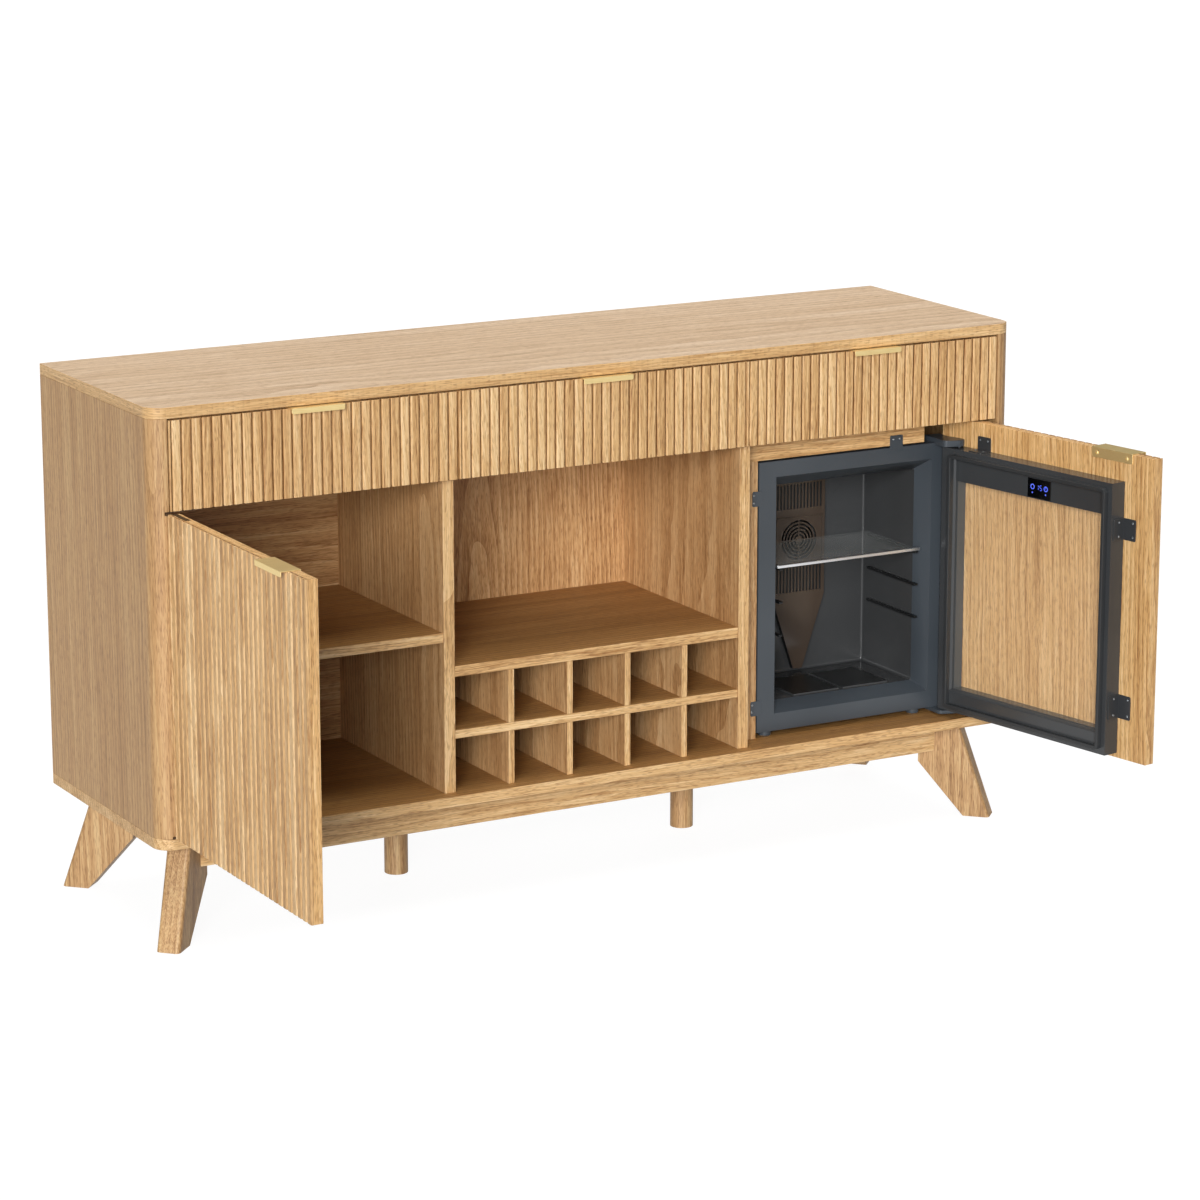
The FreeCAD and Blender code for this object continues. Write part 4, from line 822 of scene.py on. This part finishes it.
# Piece, body, material, slot, and the width of its eased edges in millimetres
FINISHES = [
    ("fridge_case", "cabinet", slate_abs, "slate_plastic", 1.2),
    ("shelf_ribs", "cabinet", black_abs, "charcoal_plastic", 0.9),
    ("fan_motor", "cabinet", black_abs, "charcoal_plastic", 0.3),
    ("rear_cover", "cabinet", black_steel, "dark_steel", 0.3),
    ("power_inlet", "cabinet", black_abs, "charcoal_plastic", 0.5),
    ("fridge_feet", "cabinet", slate_abs, "charcoal_plastic", 0.6),
    ("fridge_hinges", "cabinet", slate_abs, "dark_steel", 0.8),
    ("door_frame", "fridge_door", frame_abs, "slate_plastic", 0.8),
    ("door_seal", "fridge_door", gasket, "gasket_rubber", 1.2),
    ("door_display", "fridge_door", display_glass, "gloss_black", 0.6),
    ("shelf_trim", "cabinet", bright_aluminium, "aluminium", 1.4),
    # Hinges in the brown of shaded oak: painted shade
    ("left_hinge_plates", "cabinet", shade_brown_steel, "bare_steel", 0.2),
    ("left_door_hinges", "cupboard_door", shade_brown_steel, "bare_steel", 0.2),
]
for node, body, material, slot, width in FINISHES:
    dress(eased_copy(node, width * MM), body, material, slot, node)

# Solids that already have the right shape keep it and get a better material
CARRIED_OVER = {
    black_abs: ["fan_impeller"],
    bright_aluminium: ["heat_sink"],
    zinc_steel: [
        "drawer_runners", "left_drawer_runners", "middle_drawer_runners", "right_drawer_runners",
    ],
    door_pane: ["door_glass"],
    shelf_pane: ["glass_shelf"],
}
for material, names in CARRIED_OVER.items():
    for name in names:
        nodes[name].data.materials.clear()
        nodes[name].data.materials.append(material)


# The air cover: the faces that line its slots and guard are black, painted shade

cover = ease_edges(merged_copy("air_cover"), COVER_EASE, 1)
dress(cover, "cabinet", cover_abs, "charcoal_plastic", "air_cover")
cover.data.materials.append(black_abs)
# Faces that don't face front or back, in the slots and round the guard, are black: painted shade
for face in cover.data.polygons:
    face.material_index = int(abs(face.normal.y) < ACROSS_EDGE)


# The liner: slate bezel and bevel, charcoal tub with a rounded back, black pads

BEVEL_DEPTH = 30 * MM
BACK_ROUND = 4.5 * MM
PADS_BELOW_COVER = 2 * MM

tub_back = box_of(nodes["air_cover"])[1].y
pad_top = box_of(nodes["air_cover"])[0].z - PADS_BELOW_COVER
tub_low, tub_high = box_of(nodes["shelf_ribs"])
tub_front = box_of(nodes["fridge_liner"])[0].y + BEVEL_DEPTH


def on_tub_back(point):
    """Whether a point lies on the edge where the tub's walls meet its back."""
    middle = (tub_high.x + tub_low.x) / 2
    well_reach = (tub_high.x - tub_low.x) / 4
    return abs(point.y - tub_back) < CLOSE and abs(point.x - middle) > well_reach


liner = merged_copy("fridge_liner")
bevel_chosen(
    liner,
    lambda a, b: abs(a.y - tub_back) < CLOSE and abs(b.y - tub_back) < CLOSE
    and (on_tub_back(a) or on_tub_back(b)),
    BACK_ROUND,
    4,
)
ease_edges(liner, LINER_EASE)
dress(liner, "cabinet", slate_abs, "charcoal_plastic", "fridge_liner")
liner.data.materials.append(charcoal_abs)
liner.data.materials.append(black_abs)
for face in liner.data.polygons:
    if face.center.y > tub_front - CLOSE:
        face.material_index = 1
    # Pads are black; faces deeper than the tub's back are black too: painted shade in the fan well
    on_pad = abs(face.center.z - pad_top) < CLOSE and face.normal.z > ACROSS_EDGE
    if on_pad or face.center.y > tub_back + CLOSE:
        face.material_index = 2


# Clips with rounded corners and small screws

CLIP_SHEET = 1.5 * MM
# An edge up to this many sheets long runs across the sheet, at a leaf's corner
THIN = 1.1
CLIP_CORNER = 3 * MM
CLIP_SCREW_INSET = 6.5 * MM


def round_clip(clip):
    """Rounds the corners of a clip's two leaves and eases its edges."""
    bevel_chosen(clip, lambda a, b: (a - b).length < THIN * CLIP_SHEET, CLIP_CORNER, 4)
    return ease_edges(clip, CLIP_EASE)


door_clips, door_screws = [], []
for clip in loose_pieces(placed(merged_copy("door_clips"), fridge_turn.inverted())):
    low, high = box_of(clip)
    leaf_middle = (low.y + high.y) / 2
    leaf = low.y + CLIP_SHEET
    near, far = low.x + CLIP_SCREW_INSET, high.x - CLIP_SCREW_INSET
    bottom, head = low.z + CLIP_SCREW_INSET, high.z - CLIP_SCREW_INSET
    # A side clip's second leaf lies on the frame's outer side, the top clip's on the frame's top
    if high.z - low.z > high.x - low.x:
        side = high.x - CLIP_SHEET
        seats = [((near, leaf, z), (0, 1, 0)) for z in (bottom, head)]
        seats += [((side, leaf_middle, z), (-1, 0, 0)) for z in (bottom, head)]
    else:
        seats = [((x, leaf, head), (0, 1, 0)) for x in (near, far)]
        seats += [((x, leaf_middle, low.z + CLIP_SHEET), (0, 0, 1)) for x in (near, far)]
    door_clips.append(round_clip(clip))
    door_screws += [seated(clip_screw, *seat) for seat in seats]
door_clips = placed(joined("door_clips_finished", door_clips), fridge_turn)
dress(door_clips, "fridge_door", black_steel, "dark_steel", "door_clips")
door_screws = placed(joined("door_clip_screws", door_screws), fridge_turn)
dress(door_screws, "fridge_door", zinc_steel, "bare_steel")

case_clips, case_screws = [], []
case_top = box_of(nodes["fridge_case"])[1].z
for clip in loose_pieces(merged_copy("fridge_clips")):
    low, high = box_of(clip)
    bottom, head = low.z + CLIP_SCREW_INSET, high.z - CLIP_SCREW_INSET
    near, far = low.x + CLIP_SCREW_INSET, high.x - CLIP_SCREW_INSET
    if high.z > case_top:
        seats = [(x, low.y, head) for x in (near, far)]
    else:
        seats = [((near + low.x) / 2, low.y, z) for z in (bottom, head)]
    case_clips.append(round_clip(clip))
    case_screws += [seated(clip_screw, seat, (0, -1, 0)) for seat in seats]
case_clips = joined("fridge_clips_finished", case_clips)
dress(case_clips, "cabinet", slate_abs, "dark_steel", "fridge_clips")
dress(joined("fridge_clip_screws", case_screws), "cabinet", zinc_steel, "bare_steel")
for head in (pull_screw, clip_screw):
    bpy.data.objects.remove(head)


# Blue signs on the display: a ring with a bar, two figures, a ring, and a dot under each ring

SIGN_RISE = 0.4 * MM
RING_RADIUS = 3.9 * MM
RING_TUBE = 0.9 * MM
DOT_RADIUS = 1.3 * MM
FIGURE_WIDE = 4.2 * MM
FIGURE_TALL = 8.4 * MM
FIGURE_GAP = 0.8 * FIGURE_WIDE
STROKE = 1.2 * MM
SIGN_ASIDE = 15.5 * MM
RING_UP = 2.5 * MM
DOT_DROP = 10 * MM
# Which of a figure's seven strokes are lit: three level ones, then four upright ones
LEVEL_STROKES = 3
FIGURES = {"1": (0, 0, 0, 0, 0, 1, 1), "2": (1, 1, 1, 0, 1, 1, 0)}


def sign_ring(across, up, radius):
    """A flat ring on the display's face, at a place seen from in front of it."""
    bpy.ops.object.select_all(action="DESELECT")
    bpy.ops.mesh.primitive_torus_add(
        major_radius=radius, minor_radius=RING_TUBE, major_segments=32, minor_segments=8
    )
    ring = named("ring")
    ring.scale.z = SIGN_RISE / RING_TUBE
    bpy.ops.object.transform_apply(location=False, rotation=False, scale=True)
    return placed(ring, Matrix.Translation((across, up, 0)))


def sign_bar(low, high):
    """A lit stroke or dot between two corners on the display's face."""
    return ease_edges(block("bar", (*low, -SIGN_RISE), (*high, SIGN_RISE)), SIGN_EASE, 1)


def sign_figure(across, up, strokes):
    """A figure of seven strokes, its lower left corner at a place."""
    half, wide, tall = STROKE / 2, FIGURE_WIDE, FIGURE_TALL
    bars = []
    for i, lit_up in enumerate(strokes):
        if not lit_up:
            continue
        if i < LEVEL_STROKES:
            middle = up + tall * i / 2
            low, high = (across + half, middle - half), (across + wide - half, middle + half)
            bars.append(sign_bar(low, high))
        else:
            column, row = divmod(i - LEVEL_STROKES, 2)
            x = across + wide * column
            y = up + tall * row / 2
            bars.append(sign_bar((x - half, y + half), (x + half, y + tall / 2 - half)))
    return bars


display_low, display_high = box_of(nodes["door_display"], fridge_turn)
sign_place = (display_low + display_high) / 2
sign_place.y = display_high.y
signs = [sign_ring(side, RING_UP, RING_RADIUS) for side in (-SIGN_ASIDE, SIGN_ASIDE)]
bar_low = (SIGN_ASIDE - STROKE / 2, RING_UP)
signs.append(sign_bar(bar_low, (SIGN_ASIDE + STROKE / 2, RING_UP + RING_RADIUS)))
for side in (-SIGN_ASIDE, SIGN_ASIDE):
    middle = RING_UP - DOT_DROP
    dot_low = (side - DOT_RADIUS, middle - DOT_RADIUS)
    signs.append(sign_bar(dot_low, (side + DOT_RADIUS, middle + DOT_RADIUS)))
for x, figure in ((-FIGURE_GAP / 2 - FIGURE_WIDE, "1"), (FIGURE_GAP / 2, "2")):
    signs += sign_figure(x, RING_UP - FIGURE_TALL / 2, FIGURES[figure])
# Seen from in front, the display's across runs against X, its up is Z and it faces Y
face = Matrix(((-1, 0, 0), (0, 0, 1), (0, 1, 0))).to_4x4()
signs = placed(joined("display_signs", signs), fridge_turn @ Matrix.Translation(sign_place) @ face)
dress(signs, "fridge_door", blue_light, "gloss_black")


# Camera, floor and light

# The camera that was solved from the photograph: its lens, its place in metres and its direction
PHOTO_WIDTH = 1200
FOCAL_PIXELS = 4103.44
SENSOR = 36
CAMERA_PLACE = (-3.208967, -5.693070, 2.077914)
DEGREES_DOWN = 13.6595
DEGREES_RIGHT = 29.1149

bpy.ops.object.select_all(action="DESELECT")
camera_data = bpy.data.cameras.new("camera")
camera_data.sensor_width = SENSOR
camera_data.lens = SENSOR * FOCAL_PIXELS / PHOTO_WIDTH
camera = bpy.data.objects.new("camera", camera_data)
camera.location = CAMERA_PLACE
camera.rotation_euler = (math.radians(90 - DEGREES_DOWN), 0, math.radians(-DEGREES_RIGHT))
bpy.context.scene.collection.objects.link(camera)
bpy.context.scene.camera = camera

# The floor in metres, and how brightly it and the sky glow
FLOOR_SIZE = 90
FLOOR_MIDDLE = (0, 20, 0)
FLOOR_GLOW = 0.93
SKY_GLOW = 0.12

bpy.ops.mesh.primitive_plane_add(size=FLOOR_SIZE, location=FLOOR_MIDDLE)
floor = named("floor")
white_floor = new_material(
    "white_studio_floor",
    Roughness=0.9,
    Base_Color=hex_colour("#5a5a5a"),
    Emission_Color=hex_colour("#ffffff"),
    Emission_Strength=FLOOR_GLOW,
)[0]
floor.data.materials.append(white_floor)
# The lit floor shows, but its glow isn't thrown back up into the cabinet
floor.visible_diffuse = False


def soft_sun(name, azimuth, elevation, spread, strength):
    """Even light from a wide patch of sky, its bearing counted from the front to the left."""
    data = bpy.data.lights.new(name, "SUN")
    data.angle = math.radians(spread)
    data.energy = strength
    light = bpy.data.objects.new(name, data)
    light.rotation_euler = (math.radians(90 - elevation), 0, -math.radians(azimuth))
    bpy.context.scene.collection.objects.link(light)
    return light


# Name, bearing, height and width in the sky in degrees, and strength
SUNS = [
    ("key_light", 36, 13, 24, 3.3),
    ("overhead_light", 0, 88, 50, 2.1),
    ("back_fill_light", 215, 9, 40, 1.1),
]
suns = [soft_sun(*sun) for sun in SUNS]
# The fill from behind would shine off the top towards the camera
suns[-1].visible_glossy = False

world = bpy.data.worlds.new("studio")
world.use_nodes = True
sky = world.node_tree.nodes["Background"]
sky.inputs["Color"].default_value = hex_colour("#ffffff")
sky.inputs["Strength"].default_value = SKY_GLOW
bpy.context.scene.world = world
bpy.context.scene.view_settings.view_transform = "Standard"
